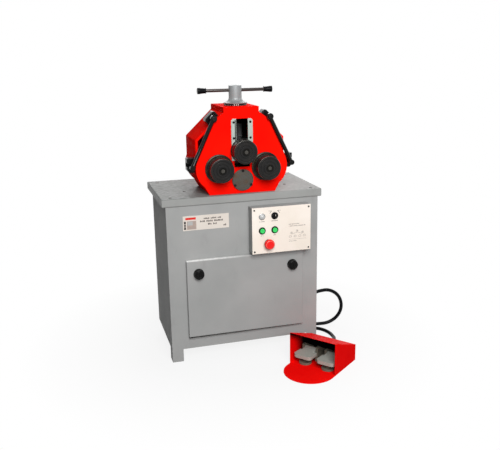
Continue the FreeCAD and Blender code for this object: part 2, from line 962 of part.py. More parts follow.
def gearmotor():
    """Gearbox hung from the tray, with its motor lying to the left."""
    half = size("gearbox_width") / 2
    low = motor_shaft_z - size("gearbox_below")
    outline = box_outline(-half, low, half, cabinet_high)
    rear = gearbox_front + size("gearbox_depth")
    body = block("gearmotor", "y", gearbox_front, rear, outline)
    motor = (gearbox_middle, motor_shaft_z, size("motor_radius"))
    pad(body, "x", -half - size("motor_length"), -half, motor)
    box_low = motor_shaft_z + size("motor_radius") * 0.8
    box_high = motor_shaft_z + size("motor_radius") * 1.6
    reach = size("motor_radius") * 0.6
    box = box_outline(gearbox_middle - reach, box_low, gearbox_middle + reach, box_high)
    pad(body, "x", -half - size("motor_length") * 0.75, -half - size("motor_length") * 0.35, box)
    hole = (0, motor_shaft_z, size("motor_shaft_radius") + gap)
    pocket(body, "y", gearbox_front, gearbox_front + size("shaft_seat") + 1, hole)
    place(body)


def polygon_prism(points, y0, y1):
    """A straight block along Y over a closed polygon of (x, z) numbers."""
    corners = [FreeCAD.Vector(x, y0, z) for x, z in points]
    face = Part.Face(Part.makePolygon(corners + corners[:1]))
    return face.extrude(FreeCAD.Vector(0, y1 - y0, 0))


def rod_along_y(radius, y0, y1):
    """A round rod along Y."""
    return Part.makeCylinder(radius, y1 - y0, FreeCAD.Vector(0, y0, 0), FreeCAD.Vector(0, 1, 0))


def polar(radius, angle):
    """Cartesian point of a radius and an angle in radians, measured from +Z towards +X."""
    return radius * math.sin(angle), radius * math.cos(angle)


def gear_points(teeth, turn_angle):
    """Involute gear outline, thinned for backlash, with the first tooth at turn_angle."""
    module = size("gear_module").number
    pressure = math.radians(20.0)
    pitch = module * teeth / 2
    base = pitch * math.cos(pressure)
    tip = pitch + module
    bottom = pitch - 1.25 * module
    start = max(base, bottom)
    thinning = 0.05 * module / pitch
    half_tooth = math.pi / (2 * teeth) - thinning
    half_at_base = half_tooth + math.tan(pressure) - pressure
    flank = []
    for step in range(4):
        radius = start + (tip - start) * step / 3
        roll = math.acos(min(1.0, base / radius))
        flank.append((radius, half_at_base - (math.tan(roll) - roll)))
    points = []
    for tooth in range(teeth):
        middle = turn_angle + 2 * math.pi * tooth / teeth
        points.append(polar(bottom, middle - half_at_base))
        points += [polar(radius, middle - width) for radius, width in flank]
        points += [polar(radius, middle + width) for radius, width in reversed(flank)]
        points.append(polar(bottom, middle + half_at_base))
    return points


def sprocket_points(teeth_alias):
    """Sprocket outline with plain pointed teeth between round-bottomed gaps."""
    teeth = int(round(size(teeth_alias).number))
    tip = sprocket_tip(teeth_alias).number
    bottom = sprocket_radius(teeth_alias).number - size("chain_pitch").number * 0.31
    shape = ((bottom, -0.50), (bottom, -0.34), (tip * 0.97, -0.16), (tip, -0.08))
    points = []
    for tooth in range(teeth):
        middle = 2 * math.pi * tooth / teeth
        step = 2 * math.pi / teeth
        points += [polar(radius, middle + share * step) for radius, share in shape]
        points += [polar(radius, middle - share * step) for radius, share in reversed(shape[1:])]
    return points


def written_piece(label, shape, x, z):
    """A piece whose shape is worked out here, placed by the sheet's values."""
    piece = doc.addObject("Part::Feature", label)
    piece.Label = label
    piece.Shape = shape.removeSplitter()
    place(piece, x=x, z=z)


def motor_sprocket():
    """Motor sprocket with the output shaft that it is keyed to."""
    y0 = (chain_y - size("sprocket_width") / 2).number
    y1 = y0 + size("sprocket_width").number
    wheel = polygon_prism(sprocket_points("motor_sprocket_teeth"), y0, y1)
    shaft_end = (gearbox_front + size("shaft_seat")).number
    nose = size("motor_shaft_nose").number
    shaft = rod_along_y(size("motor_shaft_radius").number, y0 - nose, shaft_end)
    written_piece("motor_sprocket", wheel.fuse(shaft), 0, motor_shaft_z)


def drive_chain():
    """Roller chain as one closed band around both sprockets, just clear of their teeth."""
    body = new_body("drive_chain")
    y0 = chain_y - size("chain_width") / 2
    y1 = y0 + size("chain_width")
    rise = size("motor_shaft_drop")
    for add, extra in ((pad, size("chain_height")), (pocket, as_size(0))):
        upper = sprocket_tip("shaft_sprocket_teeth") + size("seat_gap") + extra
        lower = sprocket_tip("motor_sprocket_teeth") + size("seat_gap") + extra
        lean = (upper - lower) / rise
        wide = root(1 - lean * lean)
        right = [(upper * wide, drive_z + upper * lean), (lower * wide, motor_shaft_z + lower * lean)]
        left = [(-x, z) for x, z in reversed(right)]
        add(body, "y", y0, y1, left + right)
        add(body, "y", y0, y1, (0, drive_z, upper))
        add(body, "y", y0, y1, (0, motor_shaft_z, lower))
    place(body)


def shaft_sprocket():
    """Sprocket on the drive shaft."""
    y0 = (chain_y - size("sprocket_width") / 2).number
    y1 = y0 + size("sprocket_width").number
    wheel = polygon_prism(sprocket_points("shaft_sprocket_teeth"), y0, y1)
    bore = rod_along_y((size("drive_radius") + gap).number, y0, y1)
    written_piece("shaft_sprocket", wheel.cut(bore), 0, drive_z)


gear_y1 = -size("gear_front") + size("gear_face")
rear_seat = case_back - size("case_rear_wall")
shaft_back = rear_seat + size("bearing_depth") - 1
cover_back = case_front + size("cover_spigot_length")


def drive_shaft():
    """Drive shaft with its pinion cut on it."""
    y0 = -size("gear_front").number
    teeth = int(round(size("pinion_teeth").number))
    wheel = polygon_prism(gear_points(teeth, 0.0), y0, gear_y1.number)
    start = (case_front + size("cover_plate")).number
    shaft = rod_along_y(size("drive_radius").number, start, shaft_back.number)
    written_piece("drive_shaft", wheel.fuse(shaft), 0, drive_z)


def roll_gear(side, sign):
    """Gear of a lower roll shaft, turned so that a gap meets the pinion's tooth."""
    teeth = int(round(size("roll_teeth").number))
    pinion = int(round(size("pinion_teeth").number))
    lean = math.atan2(roll_x.number, (roll_z - drive_z).number)
    towards_gear = sign * lean
    pinion_phase = (towards_gear * pinion) / (2 * math.pi)
    share = pinion_phase - math.floor(pinion_phase)
    towards_pinion = towards_gear + math.pi
    turn_angle = towards_pinion + (0.5 + share) * 2 * math.pi / teeth
    y0 = -size("gear_front").number
    wheel = polygon_prism(gear_points(teeth, turn_angle), y0, gear_y1.number)
    bore = rod_along_y((size("shaft_radius") + gap).number, y0, gear_y1.number)
    written_piece(f"{side}_gear", wheel.cut(bore), sign * roll_x, roll_z)


# ---------------------------------------------------------------- head casing

lobe = size("lobe_radius")
lean_sine = sine(size("flank_angle"))
lean_cosine = cosine(size("flank_angle"))
touch_x = roll_x + lobe * lean_cosine
touch_z = roll_z + lobe * lean_sine
flank_x = touch_x - size("flank_length") * lean_sine
flank_z = touch_z + size("flank_length") * lean_cosine
toe_x = roll_x + lobe * cosine(size("base_angle"))
toe_z = roll_z - lobe * sine(size("base_angle"))
shoulder_x = size("shoulder_half")
shoulder_z = top + size("shoulder_height")
case_edge_z = case_top - size("case_top_edge")
slope_x = shoulder_x - size("case_top_half")
slope_z = shoulder_z - case_edge_z
slope_length = root(slope_x * slope_x + slope_z * slope_z)
slot_half = size("carriage_half") + size("slot_gap")
slot_low = top + size("slot_low")
slot_high = top + size("slot_high")


def both_sides(points):
    """Mirror an outline's right half, given from top to bottom, to the left."""
    return points + [(-x, z) for x, z in reversed(points)]


def head_front_plate():
    """Thick front plate: a gabled middle between two round lobes, with the carriage slot."""
    outline = both_sides([
        (size("case_top_half"), case_top),
        (size("case_top_half"), case_edge_z),
        (flank_x, flank_z),
        (touch_x, touch_z),
        (toe_x, toe_z),
        (size("case_base_half"), top),
    ])
    body = block("head_front_plate", "y", case_front, plate_back, outline)
    pad(body, "y", case_front, plate_back, *[(s * roll_x, roll_z, lobe) for s in (-1, 1)])
    pocket(body, "y", case_front, plate_back, box_outline(-slot_half, slot_low, slot_half, slot_high))
    hole = size("spigot_radius") + gap
    pocket(body, "y", case_front, plate_back, *[(s * roll_x, roll_z, hole) for s in (-1, 1)])
    pocket(body, "y", case_front, plate_back, (0, drive_z, size("cover_spigot") + gap))
    place(body)


def housing_section(inset, bottom):
    """Section of the housing, moved inwards by an inset, down to a given height."""
    return both_sides([
        (size("case_top_half") - inset, case_top - inset),
        (size("case_top_half") - inset, case_edge_z - inset * 0.4),
        (shoulder_x - inset, shoulder_z - inset * 0.4),
        (shoulder_x - inset, roll_z),
        (toe_x - inset, toe_z),
        (size("case_base_half") - inset, bottom),
    ])


def head_housing():
    """Cast housing behind the front plate, open below for the chain."""
    outline = housing_section(as_size(0), top)
    body = block("head_housing", "y", plate_back, case_back, outline)
    pad(body, "y", plate_back, case_back, *[(s * roll_x, roll_z, lobe) for s in (-1, 1)])
    wall = size("case_wall")
    pocket(body, "y", plate_back, rear_seat, housing_section(wall, top))
    inner_lobe = lobe - wall
    pocket(body, "y", plate_back, rear_seat, *[(s * roll_x, roll_z, inner_lobe) for s in (-1, 1)])
    bearing = size("shaft_radius") + gap
    seats = [(s * roll_x, roll_z, bearing) for s in (-1, 1)]
    seats.append((0, drive_z, size("drive_radius") + gap))
    pocket(body, "y", rear_seat, rear_seat + size("bearing_depth"), *seats)
    hole = (0, -size("screw_axis"), size("screw_neck") + gap)
    pocket(body, "z", case_top - wall, case_top, hole)
    place(body)


strip_middle = (size("strip_inner") + size("strip_outer")) / 2


def strip_screw_places(side):
    """Two screws for each of the two strips on one side."""
    inset = size("strip_screw_inset")
    split = top + size("strip_split")
    ends = ((top + size("strip_low"), split), (split, top + size("strip_top")))
    return [(side * strip_middle, z) for low, high in ends for z in (low + inset, high - inset)]


def gib(side, sign):
    """Two flat guide strips, one above the other, that hold the carriage in its slot."""
    inner = sign * size("strip_inner")
    outer = sign * size("strip_outer")
    low = top + size("strip_low")
    split = top + size("strip_split")
    high = top + size("strip_top")
    corner = size("strip_screw_inset") / 2
    strip_front = case_front - size("strip_thickness")
    upper = [
        (inner, split + gap),
        (outer, split + gap),
        (outer, high - corner),
        (outer - sign * corner, high),
        (inner, high),
    ]
    body = block(f"gib_{side}", "y", strip_front, case_front, upper)
    pad(body, "y", strip_front, case_front, box_outline(inner, low, outer, split - gap))
    hole = size("strip_screw_radius") + gap
    places = strip_screw_places(sign)
    pocket(body, "y", strip_front, case_front, *[(x, z, hole) for x, z in places])
    place(body)


def cover_screw_ring():
    """The three cap screws of the drive cover, one above and two below."""
    circle = size("cover_circle")
    return [(circle * cosine(as_size(a)), drive_z + circle * sine(as_size(a))) for a in (90, 210, 330)]


def head_screws():
    """Flush screws of the guide strips and cap screws of the drive cover."""
    body = new_body("head_screws")
    lift = size("strip_thickness")
    places = strip_screw_places(-1) + strip_screw_places(1)
    radius = size("strip_screw_radius")
    pad(body, "y", case_front - lift, case_front, *[(x, z, radius) for x, z in places])
    cover_face = case_front - size("cover_plate")
    height = size("cap_screw_height")
    cap = size("cap_screw_radius")
    pad(body, "y", cover_face - height, cover_face, *[(x, z, cap) for x, z in cover_screw_ring()])
    place(body)


def bearing_flange(side, sign):
    """Flanged bearing cartridge of a lower roll."""
    face = case_front - size("flange_thickness")
    spigot_back = case_front + size("spigot_length")
    bore = size("shaft_radius") + gap
    body = turned(f"{side}_bearing_flange", "y", [
        (bore, face),
        (size("flange_radius"), face),
        (size("flange_radius"), case_front),
        (size("spigot_radius"), case_front),
        (size("spigot_radius"), spigot_back),
        (bore, spigot_back),
    ])
    place(body, x=sign * roll_x, z=roll_z)


def drive_cover():
    """Round cover whose spigot carries the front end of the drive shaft."""
    face = case_front - size("cover_plate")
    bore = size("drive_radius") + gap
    floor = case_front + size("cover_plate") - 1
    body = turned("drive_cover", "y", [
        (0, face),
        (size("cover_radius") - 1, face),
        (size("cover_radius"), face + 1),
        (size("cover_radius"), case_front),
        (size("cover_spigot"), case_front),
        (size("cover_spigot"), cover_back),
        (bore, cover_back),
        (bore, floor),
        (0, floor),
    ])
    place(body, z=drive_z)


# ---------------------------------------------------------------- rolls, carriage and screw

boss_back = case_front - size("strip_thickness") - size("seat_gap") - gap
boss_front = boss_back - size("boss_thickness")
carriage_front = case_front + size("carriage_setback")
carriage_back = carriage_front + size("carriage_depth")


def carriage():
    """Sliding block with a round boss in front and a nut tower behind."""
    half = size("carriage_half")
    low = top_roll_z - size("carriage_low")
    high = top_roll_z + size("carriage_high")
    section = box_outline(-half, low, half, high)
    body = block("carriage", "y", carriage_front, carriage_back, section)
    nose = size("nose_half")
    pad(body, "y", boss_back, carriage_front, box_outline(-nose, low, nose, high))
    pad(body, "y", boss_front, boss_back, (0, top_roll_z, size("boss_radius")))
    nut = size("nut_half")
    axis_y = -size("screw_axis")
    tower = box_outline(-nut, axis_y - nut, nut, axis_y + nut)
    pad(body, "z", high, top_roll_z + size("tower_height"), tower)
    pocket(body, "y", boss_front, carriage_back, (0, top_roll_z, size("shaft_radius") + gap))
    floor = top_roll_z + size("shaft_radius") + 1
    bore = (0, axis_y, size("screw_radius") + gap)
    pocket(body, "z", floor, top_roll_z + size("tower_height"), bore)
    place(body)


def roll_profile(rear):
    """Outline of a roll: chamfered ends and two shallow grooves."""
    radius = size("roll_radius")
    step = size("roll_step")
    bore = size("shaft_radius") + gap
    land = size("roll_nose")
    return [
        (bore, roll_front),
        (radius - step, roll_front),
        (radius, roll_front + step),
        (radius, roll_front + land),
        (radius - step, roll_front + land),
        (radius - step, roll_front + land + step),
        (radius, roll_front + land + step),
        (radius, rear - land - step),
        (radius - step, rear - land - step),
        (radius - step, rear - land),
        (radius, rear - land),
        (radius, rear - step),
        (radius - step, rear),
        (bore, rear),
    ]


def shaft_profile(rear):
    """Outline of a roll shaft: a screw head in front and a plain journal behind."""
    radius = size("shaft_radius")
    hexagon = size("hex_radius")
    nose = roll_front - size("hex_height")
    head = [(0, nose), (hexagon, nose), (hexagon, roll_front)]
    return [*head, (radius, roll_front), (radius, rear), (0, rear)]


def rolls_and_shafts():
    """The pressing roll in the carriage and the two driven rolls below it."""
    shaft_rear = carriage_back - size("shaft_end_drop")
    place(turned("top_shaft", "y", shaft_profile(shaft_rear)), z=top_roll_z)
    place(turned("top_roll", "y", roll_profile(boss_front - size("seat_gap"))), z=top_roll_z)
    lower_rear = case_front - size("flange_thickness") - size("seat_gap")
    for side, sign in mirrored_sides():
        shaft = turned(f"{side}_shaft", "y", shaft_profile(shaft_back))
        place(shaft, x=sign * roll_x, z=roll_z)
        place(turned(f"{side}_roll", "y", roll_profile(lower_rear)), x=sign * roll_x, z=roll_z)


scale_top = case_top + size("scale_height")
hub_low = scale_top + size("seat_gap")
hub_top = hub_low + size("hub_height")
bar_z = top + size("bar_height")


def adjusting_screw():
    """Screw held lengthwise by its collar under the housing's top wall."""
    radius = size("screw_radius")
    neck = size("screw_neck")
    collar = size("collar_radius")
    collar_top = case_top - size("case_wall") - size("seat_gap")
    collar_low = collar_top - size("collar_height")
    end = hub_low + size("hub_bore_depth")
    body = turned("adjusting_screw", "z", [
        (0, top + size("screw_end")),
        (radius, top + size("screw_end")),
        (radius, collar_low),
        (collar, collar_low),
        (collar, collar_top),
        (neck, collar_top),
        (neck, end),
        (0, end),
    ])
    place(body, y=-size("screw_axis"))


def scale_ring():
    """Graduated ring fixed to the top of the housing."""
    bore = size("screw_neck") + gap
    radius = size("scale_radius")
    body = turned("scale_ring", "z", [
        (bore, case_top), (radius, case_top), (radius, scale_top - 1), (radius - 1, scale_top),
        (bore, scale_top),
    ])
    place(body, y=-size("screw_axis"))


def screw_hub():
    """Flared hub on the screw, cross-bored for the turning bar."""
    bore = size("screw_neck") + gap
    flare = size("hub_flare")
    radius = size("hub_radius")
    rim = hub_low + size("hub_rim")
    edge = size("hub_edge")
    spread = flare - radius
    body = turned("screw_hub", "z", [
        (0, hub_low + size("hub_bore_depth") + gap),
        (bore, hub_low + size("hub_bore_depth") + gap),
        (bore, hub_low),
        (flare, hub_low),
        (flare, rim),
        (radius + spread * 0.5, rim + spread * 0.2),
        (radius + spread * 0.16, rim + spread * 0.5),
        (radius, rim + spread),
        (radius, hub_top - edge),
        (radius - edge, hub_top),
        (0, hub_top),
    ])
    hole = size("bar_radius") + gap
    pocket(body, "x", -radius - 1, radius + 1, (0, bar_z, hole))
    place(body, y=-size("screw_axis"))


def tommy_bar():
    """Sliding bar through the hub."""
    half = size("bar_length") / 2
    body = block("tommy_bar", "x", -half, half, (0, 0, size("bar_radius")))
    place(body, y=-size("screw_axis"), z=bar_z)


def bar_grip(side, sign):
    """Tapered grip on one end of the bar."""
    end = sign * size("bar_length") / 2
    start = end - sign * size("grip_overlap")
    tip = start + sign * size("grip_length")
    bore = size("bar_radius") + gap
    wide = size("grip_radius")
    waist = size("grip_waist")
    chamfer = size("grip_chamfer")
    body = turned(f"bar_grip_{side}", "x", [
        (start, bore),
        (start, waist),
        (tip - sign * chamfer, wide),
        (tip, wide - chamfer),
        (tip, 0),
        (end + sign * gap, 0),
        (end + sign * gap, bore),
    ])
    place(body, y=-size("screw_axis"), z=bar_z)


# ---------------------------------------------------------------- side arms

along_x = slope_x / slope_length
along_z = slope_z / slope_length
out_x = -along_z
out_z = along_x
block_end = size("block_start") + size("block_length")
pivot_along = size("block_start") + size("block_length") / 2
pivot_out = size("block_thickness") / 2
arm_sine = sine(size("arm_angle"))
arm_cosine = cosine(size("arm_angle"))


def shoulder_point(along, out):
    """A point given by its distance along the sloping shoulder and out from it."""
    x = size("case_top_half") + along * along_x + out * out_x
    z = case_edge_z + along * along_z + out * out_z
    return x, z


pivot_x, pivot_z = shoulder_point(pivot_along, pivot_out)
latch_x = pivot_x + size("arm_length") * arm_sine
latch_z = pivot_z - size("arm_length") * arm_cosine
arm_y = case_front - size("arm_lift") - size("eye_thickness") / 2


def upper_block(side, sign):
    """Block on the sloping shoulder that carries an arm's pivot."""
    thick = size("block_thickness")
    corner = size("block_corner")
    outline = [
        shoulder_point(size("block_start"), as_size(0)),
        shoulder_point(block_end, as_size(0)),
        shoulder_point(block_end, thick - corner),
        shoulder_point(block_end - corner, thick),
        shoulder_point(size("block_start") + corner, thick),
        shoulder_point(size("block_start"), thick - corner),
    ]
    outline = [(sign * x, z) for x, z in outline]
    rear = plate_back + size("block_depth")
    body = block(f"{side}_upper_block", "y", plate_back, rear, outline)
    hole = (sign * pivot_x, pivot_z, size("pivot_radius") + gap)
    pocket(body, "y", plate_back, plate_back + size("stud_seat"), hole)
    place(body)


def lower_block(side, sign):
    """Block on the housing's side with the open slot that takes an arm's latch pin."""
    outer = size("latch_block_outer")
    low = top + size("latch_block_low")
    high = low + size("latch_block_height")
    corner = size("latch_block_corner")
    outline = [
        (sign * shoulder_x, low),
        (sign * (outer - corner), low),
        (sign * outer, low + corner),
        (sign * outer, high),
        (sign * shoulder_x, high),
    ]
    rear = plate_back + size("latch_block_depth")
    body = block(f"{side}_lower_block", "y", plate_back, rear, outline)
    pocket(body, "y", plate_back, rear, (sign * roll_x, roll_z, lobe))
    half = size("latch_radius") + size("latch_gap")
    depth = plate_back + size("latch_seat") + gap
    pocket(body, "y", plate_back, depth, (sign * latch_x, latch_z, half))
    reach = size("latch_block_height")
    mouth = []
    for ahead, aside in ((0, -1), (1, -1), (1, 1), (0, 1)):
        x = latch_x + reach * ahead * arm_cosine - half * aside * arm_sine
        z = latch_z + reach * ahead * arm_sine + half * aside * arm_cosine
        mouth.append((sign * x, z))
    pocket(body, "y", plate_back, depth, mouth)
    place(body)


def swing_arm(side, sign):
    """Round arm with an eye above and a round end with a latch pin below."""
    radius = size("arm_radius")
    length = size("arm_length")
    eye = size("eye_radius")
    half = size("eye_thickness") / 2
    body = block(f"{side}_arm", "z", -length, -eye / 2, (0, arm_y, radius))
    pad(body, "y", arm_y - half, arm_y + half, (0, 0, eye))
    pad(body, "y", arm_y - half, arm_y + half, (0, -length, size("ball_radius")))
    end = plate_back + size("latch_seat")
    pad(body, "y", arm_y, end, (0, -length, size("latch_radius")))
    hole = (0, 0, size("pivot_radius") + gap)
    pocket(body, "y", arm_y - half, arm_y + half, hole)
    place(body, x=sign * pivot_x, z=pivot_z, axis=(0, 1, 0), angle=-sign * size("arm_angle"))


def arm_screws():
    """Shoulder screws that the arms turn on."""
    body = new_body("arm_screws")
    face = arm_y - size("eye_thickness") / 2 - size("seat_gap")
    height = size("stud_head_height")
    places = [(sign * pivot_x, pivot_z) for sign in (-1, 1)]
    pad(body, "y", face - height, face, *[(x, z, size("pivot_head")) for x, z in places])
    seat = plate_back + size("stud_seat")
    pad(body, "y", face, seat, *[(x, z, size("pivot_radius")) for x, z in places])
    place(body)


# ---------------------------------------------------------------- foot switch

guard_wall = size("guard_sheet")
hinge_z = size("pad_hinge_height")
hinge_y = size("pin_behind_edge")


def place_pedal(piece):
    """Foot-switch pieces are drawn with x along the guard's opening and y into it."""
    place(piece, size("pedal_x"), size("pedal_y"), 0, (0, 0, 1), size("pedal_turn"))


def pedal_guard():
    """Bent sheet hood, open in front, on a floor plate with a half-round apron."""
    wide = size("guard_width")
    deep = size("guard_depth")
    high = size("guard_front_height")
    low = size("guard_rear_height")
    body = block("pedal_guard", "x", 0, wide, [(0, 0), (deep, 0), (deep, low), (0, high)])
    inner = [
        (-1, guard_wall),
        (deep - guard_wall, guard_wall),
        (deep - guard_wall, low - guard_wall),
        (-1, high - guard_wall),
    ]
    pocket(body, "x", guard_wall, wide - guard_wall, inner)
    apron = size("apron_straight")
    pad(body, "z", 0, guard_wall, box_outline(0, -apron, wide, 0))
    pad(body, "z", 0, guard_wall, (wide / 2, -apron, wide / 2))
    hole = (size("pedal_gland_x"), size("pedal_gland_z"), size("gland_radius") * 0.6 + gap)
    pocket(body, "y", deep - guard_wall, deep, hole)
    place_pedal(body)


def pad_spans():
    """Start and end of the two pedals across the guard."""
    inset = size("pad_inset")
    width = size("pad_width")
    second = size("guard_width") - inset - width
    return ((inset, inset + width), (second, second + width))


def neck_spans():
    """Start and end of the two narrow necks behind the treads."""
    half = size("neck_width") / 2
    return tuple(((low + high) / 2 - half, (low + high) / 2 + half) for low, high in pad_spans())


def pedal_body():
    """Casting on the floor plate with a pair of ears and a switch cup for each pedal."""
    necks = neck_spans()
    ear = size("ear_thickness")
    clearance = size("seat_gap")
    start = necks[0][0] - clearance - ear
    end = necks[1][1] + clearance + ear
    rear = size("casting_back")
    height = size("casting_height")
    knuckle = size("knuckle_radius")
    deck_front = hinge_y + knuckle + size("casting_gap")
    section = box_outline(deck_front, guard_wall, rear, height)
    body = block("pedal_body", "x", start, end, section)
    side = [
        (size("casting_front"), guard_wall),
        (rear, guard_wall),
        (rear, height),
        (hinge_y + knuckle, size("ear_top")),
        (hinge_y - knuckle, size("ear_top")),
    ]
    pin = (hinge_y, hinge_z, size("pedal_pin_radius") + gap)
    for low, high in necks:
        for inner in (low - clearance - ear, high + clearance):
            pad(body, "x", inner, inner + ear, side)
            pocket(body, "x", inner, inner + ear, pin)
    cups = [((low + high) / 2, size("cup_place")) for low, high in necks]
    cup_top = guard_wall + size("cup_height")
    pad(body, "z", guard_wall, cup_top, *[(x, y, size("cup_radius")) for x, y in cups])
    stem_top = cup_top + size("bumper_height")
    pad(body, "z", cup_top, stem_top, *[(x, y, size("bumper_radius")) for x, y in cups])
    web = size("bumper_radius")
    ties = [box_outline(x - web, y, x + web, deck_front + guard_wall) for x, y in cups]
    pad(body, "z", guard_wall, cup_top, *ties)
    place_pedal(body)


def pedal_pad(side, number):
    """Level tread with rounded front corners on a narrow neck that turns on its pin."""
    low, high = pad_spans()[number]
    front_edge = size("pad_setback")
    tread_rear = front_edge + size("pad_depth")
    corner = size("pad_corner")
    top = size("pad_top")
    bottom = top - size("pad_thickness")
    body = block(f"{side}_pedal", "z", bottom, top, box_outline(low, front_edge + corner, high, tread_rear))
    pad(body, "z", bottom, top, box_outline(low + corner, front_edge, high - corner, tread_rear))
    for x in (low + corner, high - corner):
        pad(body, "z", bottom, top, (x, front_edge + corner, corner))
    neck = [
        (tread_rear - size("neck_overlap"), top - size("neck_thickness")),
        (tread_rear, top - size("neck_thickness")),
        (hinge_y, hinge_z - size("knuckle_radius")),
        (hinge_y, hinge_z + size("knuckle_radius")),
        (tread_rear - size("neck_overlap"), top),
    ]
    neck_low, neck_high = neck_spans()[number]
    pad(body, "x", neck_low, neck_high, neck)
    pad(body, "x", neck_low, neck_high, (hinge_y, hinge_z, size("knuckle_radius")))
    pocket(body, "x", neck_low, neck_high, (hinge_y, hinge_z, size("pedal_pin_radius") + gap))
    place_pedal(body)


def pedal_pins():
    """One pin for each pedal, from ear to ear."""
    body = new_body("pedal_pins")
    reach = size("seat_gap") + size("ear_thickness")
    pin = (hinge_y, hinge_z, size("pedal_pin_radius"))
    for low, high in neck_spans():
        pad(body, "x", low - reach, high + reach, pin)
    place_pedal(body)


# ---------------------------------------------------------------- cable

def gland_ends():
    """Base and direction of the glands on the cabinet's side and on the guard's back."""
    turn_sine = sine(size("pedal_turn"))
    turn_cosine = cosine(size("pedal_turn"))
    cabinet = FreeCAD.Vector(cabinet_half.number, size("gland_y").number, size("gland_z").number)
    across = size("pedal_gland_x")
    deep = size("guard_depth")
    base_x = size("pedal_x") + across * turn_cosine - deep * turn_sine
    base_y = size("pedal_y") + across * turn_sine + deep * turn_cosine
    guard = FreeCAD.Vector(base_x.number, base_y.number, size("pedal_gland_z").number)
    inward = FreeCAD.Vector(-turn_sine.number, turn_cosine.number, 0)
    return (cabinet, FreeCAD.Vector(1, 0, 0)), (guard, inward)


def cable_gland():
    """Two alike glands: a nut outside the sheet and a threaded body inside it."""
    radius = size("gland_radius").number
    length = size("gland_length").number
    tail = size("gland_tail").number
    shapes = []
    sheets = (cabinet_wall.number, guard_wall.number)
    for (base, outward), wall in zip(gland_ends(), sheets):
        nut = Part.makeCylinder(radius, length * 0.6, base, outward)
        neck = Part.makeCone(radius * 0.9, radius * 0.7, length * 0.4, base + outward * length * 0.6, outward)
        stem = Part.makeCylinder(radius * 0.6, wall + tail, base, -outward)
        shapes.append(nut.fuse([neck, stem]).removeSplitter())
    piece = doc.addObject("Part::Feature", "cable_gland")
    piece.Label = "cable_gland"
    piece.Shape = Part.makeCompound(shapes)
    place(piece)


def cable_path():
    """Straight runs joined by tangent arcs, from gland to gland."""
    length = size("gland_length").number
    (start, start_way), (end, end_way) = gland_ends()
    route = [FreeCAD.Vector(*point) for point in CABLE_POINTS]
    points = [start + start_way * length] + route + [end + end_way * length]
    edges = []
    here = points[0]
    for before, corner, after in zip(points, points[1:], points[2:]):
        come = (corner - before).normalize()
        go = (after - corner).normalize()
        half = come.getAngle(go) / 2
        shorter = min((corner - before).Length, (after - corner).Length)
        reach = 0.45 * shorter
        radius = reach / math.tan(half)
        print(f"cable bend {radius:.1f} mm radius")
        arc_start = corner - come * reach
        arc_end = corner + go * reach
        inward = (go - come).normalize()
        middle = corner + inward * (radius / math.cos(half) - radius)
        edges.append(Part.LineSegment(here, arc_start).toShape())
        edges.append(Part.Arc(arc_start, middle, arc_end).toShape())
        here = arc_end
    edges.append(Part.LineSegment(here, points[-1]).toShape())
    return Part.Wire(edges)


def foot_cable():
    """Cable from the cabinet's gland to the foot switch's gland."""
    path = cable_path()
    first = path.Edges[0]
    radius = size("cable_radius").number
    ring = Part.Circle(first.valueAt(first.FirstParameter), first.tangentAt(first.FirstParameter), radius)
    tube = path.makePipeShell([Part.Wire([ring.toShape()])], True, True)
    expected = math.pi * radius ** 2 * path.Length
    print(f"cable {path.Length:.1f} mm long, volume ratio {tube.Volume / expected:.4f}")
    piece = doc.addObject("Part::Feature", "foot_cable")
    piece.Label = "foot_cable"
    piece.Shape = tube
    place(piece)


# ---------------------------------------------------------------- the whole machine

def build():
    """Make every sub-part."""
    for make in (
        table_top, table_screws, cabinet_body, back_panel, door_panel, door_hinge_rod, nameplate,
        control_box, control_faceplate, panel_screws, pilot_lamp, control_bezels, selector_knob,
        emergency_head, gearmotor, motor_sprocket, drive_chain, shaft_sprocket, drive_shaft,
        head_front_plate, head_housing, head_screws, drive_cover, carriage, rolls_and_shafts,
        adjusting_screw, scale_ring, screw_hub, tommy_bar, arm_screws, pedal_guard, pedal_body,
        pedal_pins, foot_cable, cable_gland,
    ):
        make()
    push_button("forward_button", forward_at)
    push_button("reverse_button", reverse_at)
    for side, sign in mirrored_sides():
        door_knob(side, sign)
        roll_gear(side, sign)
        gib(side, sign)
        bearing_flange(side, sign)
        bar_grip(side, sign)
        upper_block(side, sign)
        lower_block(side, sign)
        swing_arm(side, sign)
    pedal_pad("left", 0)
    pedal_pad("right", 1)


def check():
    """Stop if any object failed or any sub-part's shape is unsound."""
    for thing in doc.Objects:
        if "Invalid" in thing.State or "Error" in thing.State:
            raise RuntimeError(f"{thing.Label} failed: {thing.State}")
    for label in labels:
        shape = doc.getObjectsByLabel(label)[0].Shape
        if shape.isNull() or not shape.isValid() or not shape.Solids:
            raise RuntimeError(f"{label} has no sound shape")


def write():
    """Write each sub-part as a STEP file."""
    os.makedirs("parts", exist_ok=True)
    for label in labels:
        doc.getObjectsByLabel(label)[0].Shape.exportStep(f"parts/{label}.step")
    print(f"{len(labels)} parts written")


build()
doc.recompute()
check()
write()
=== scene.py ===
"""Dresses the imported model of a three-roll ring roller with finishes and fine pieces."""
import json
import logging
import math
from dataclasses import dataclass
from enum import Enum

import bmesh
import bpy
import numpy as np
from mathutils import Matrix, Vector

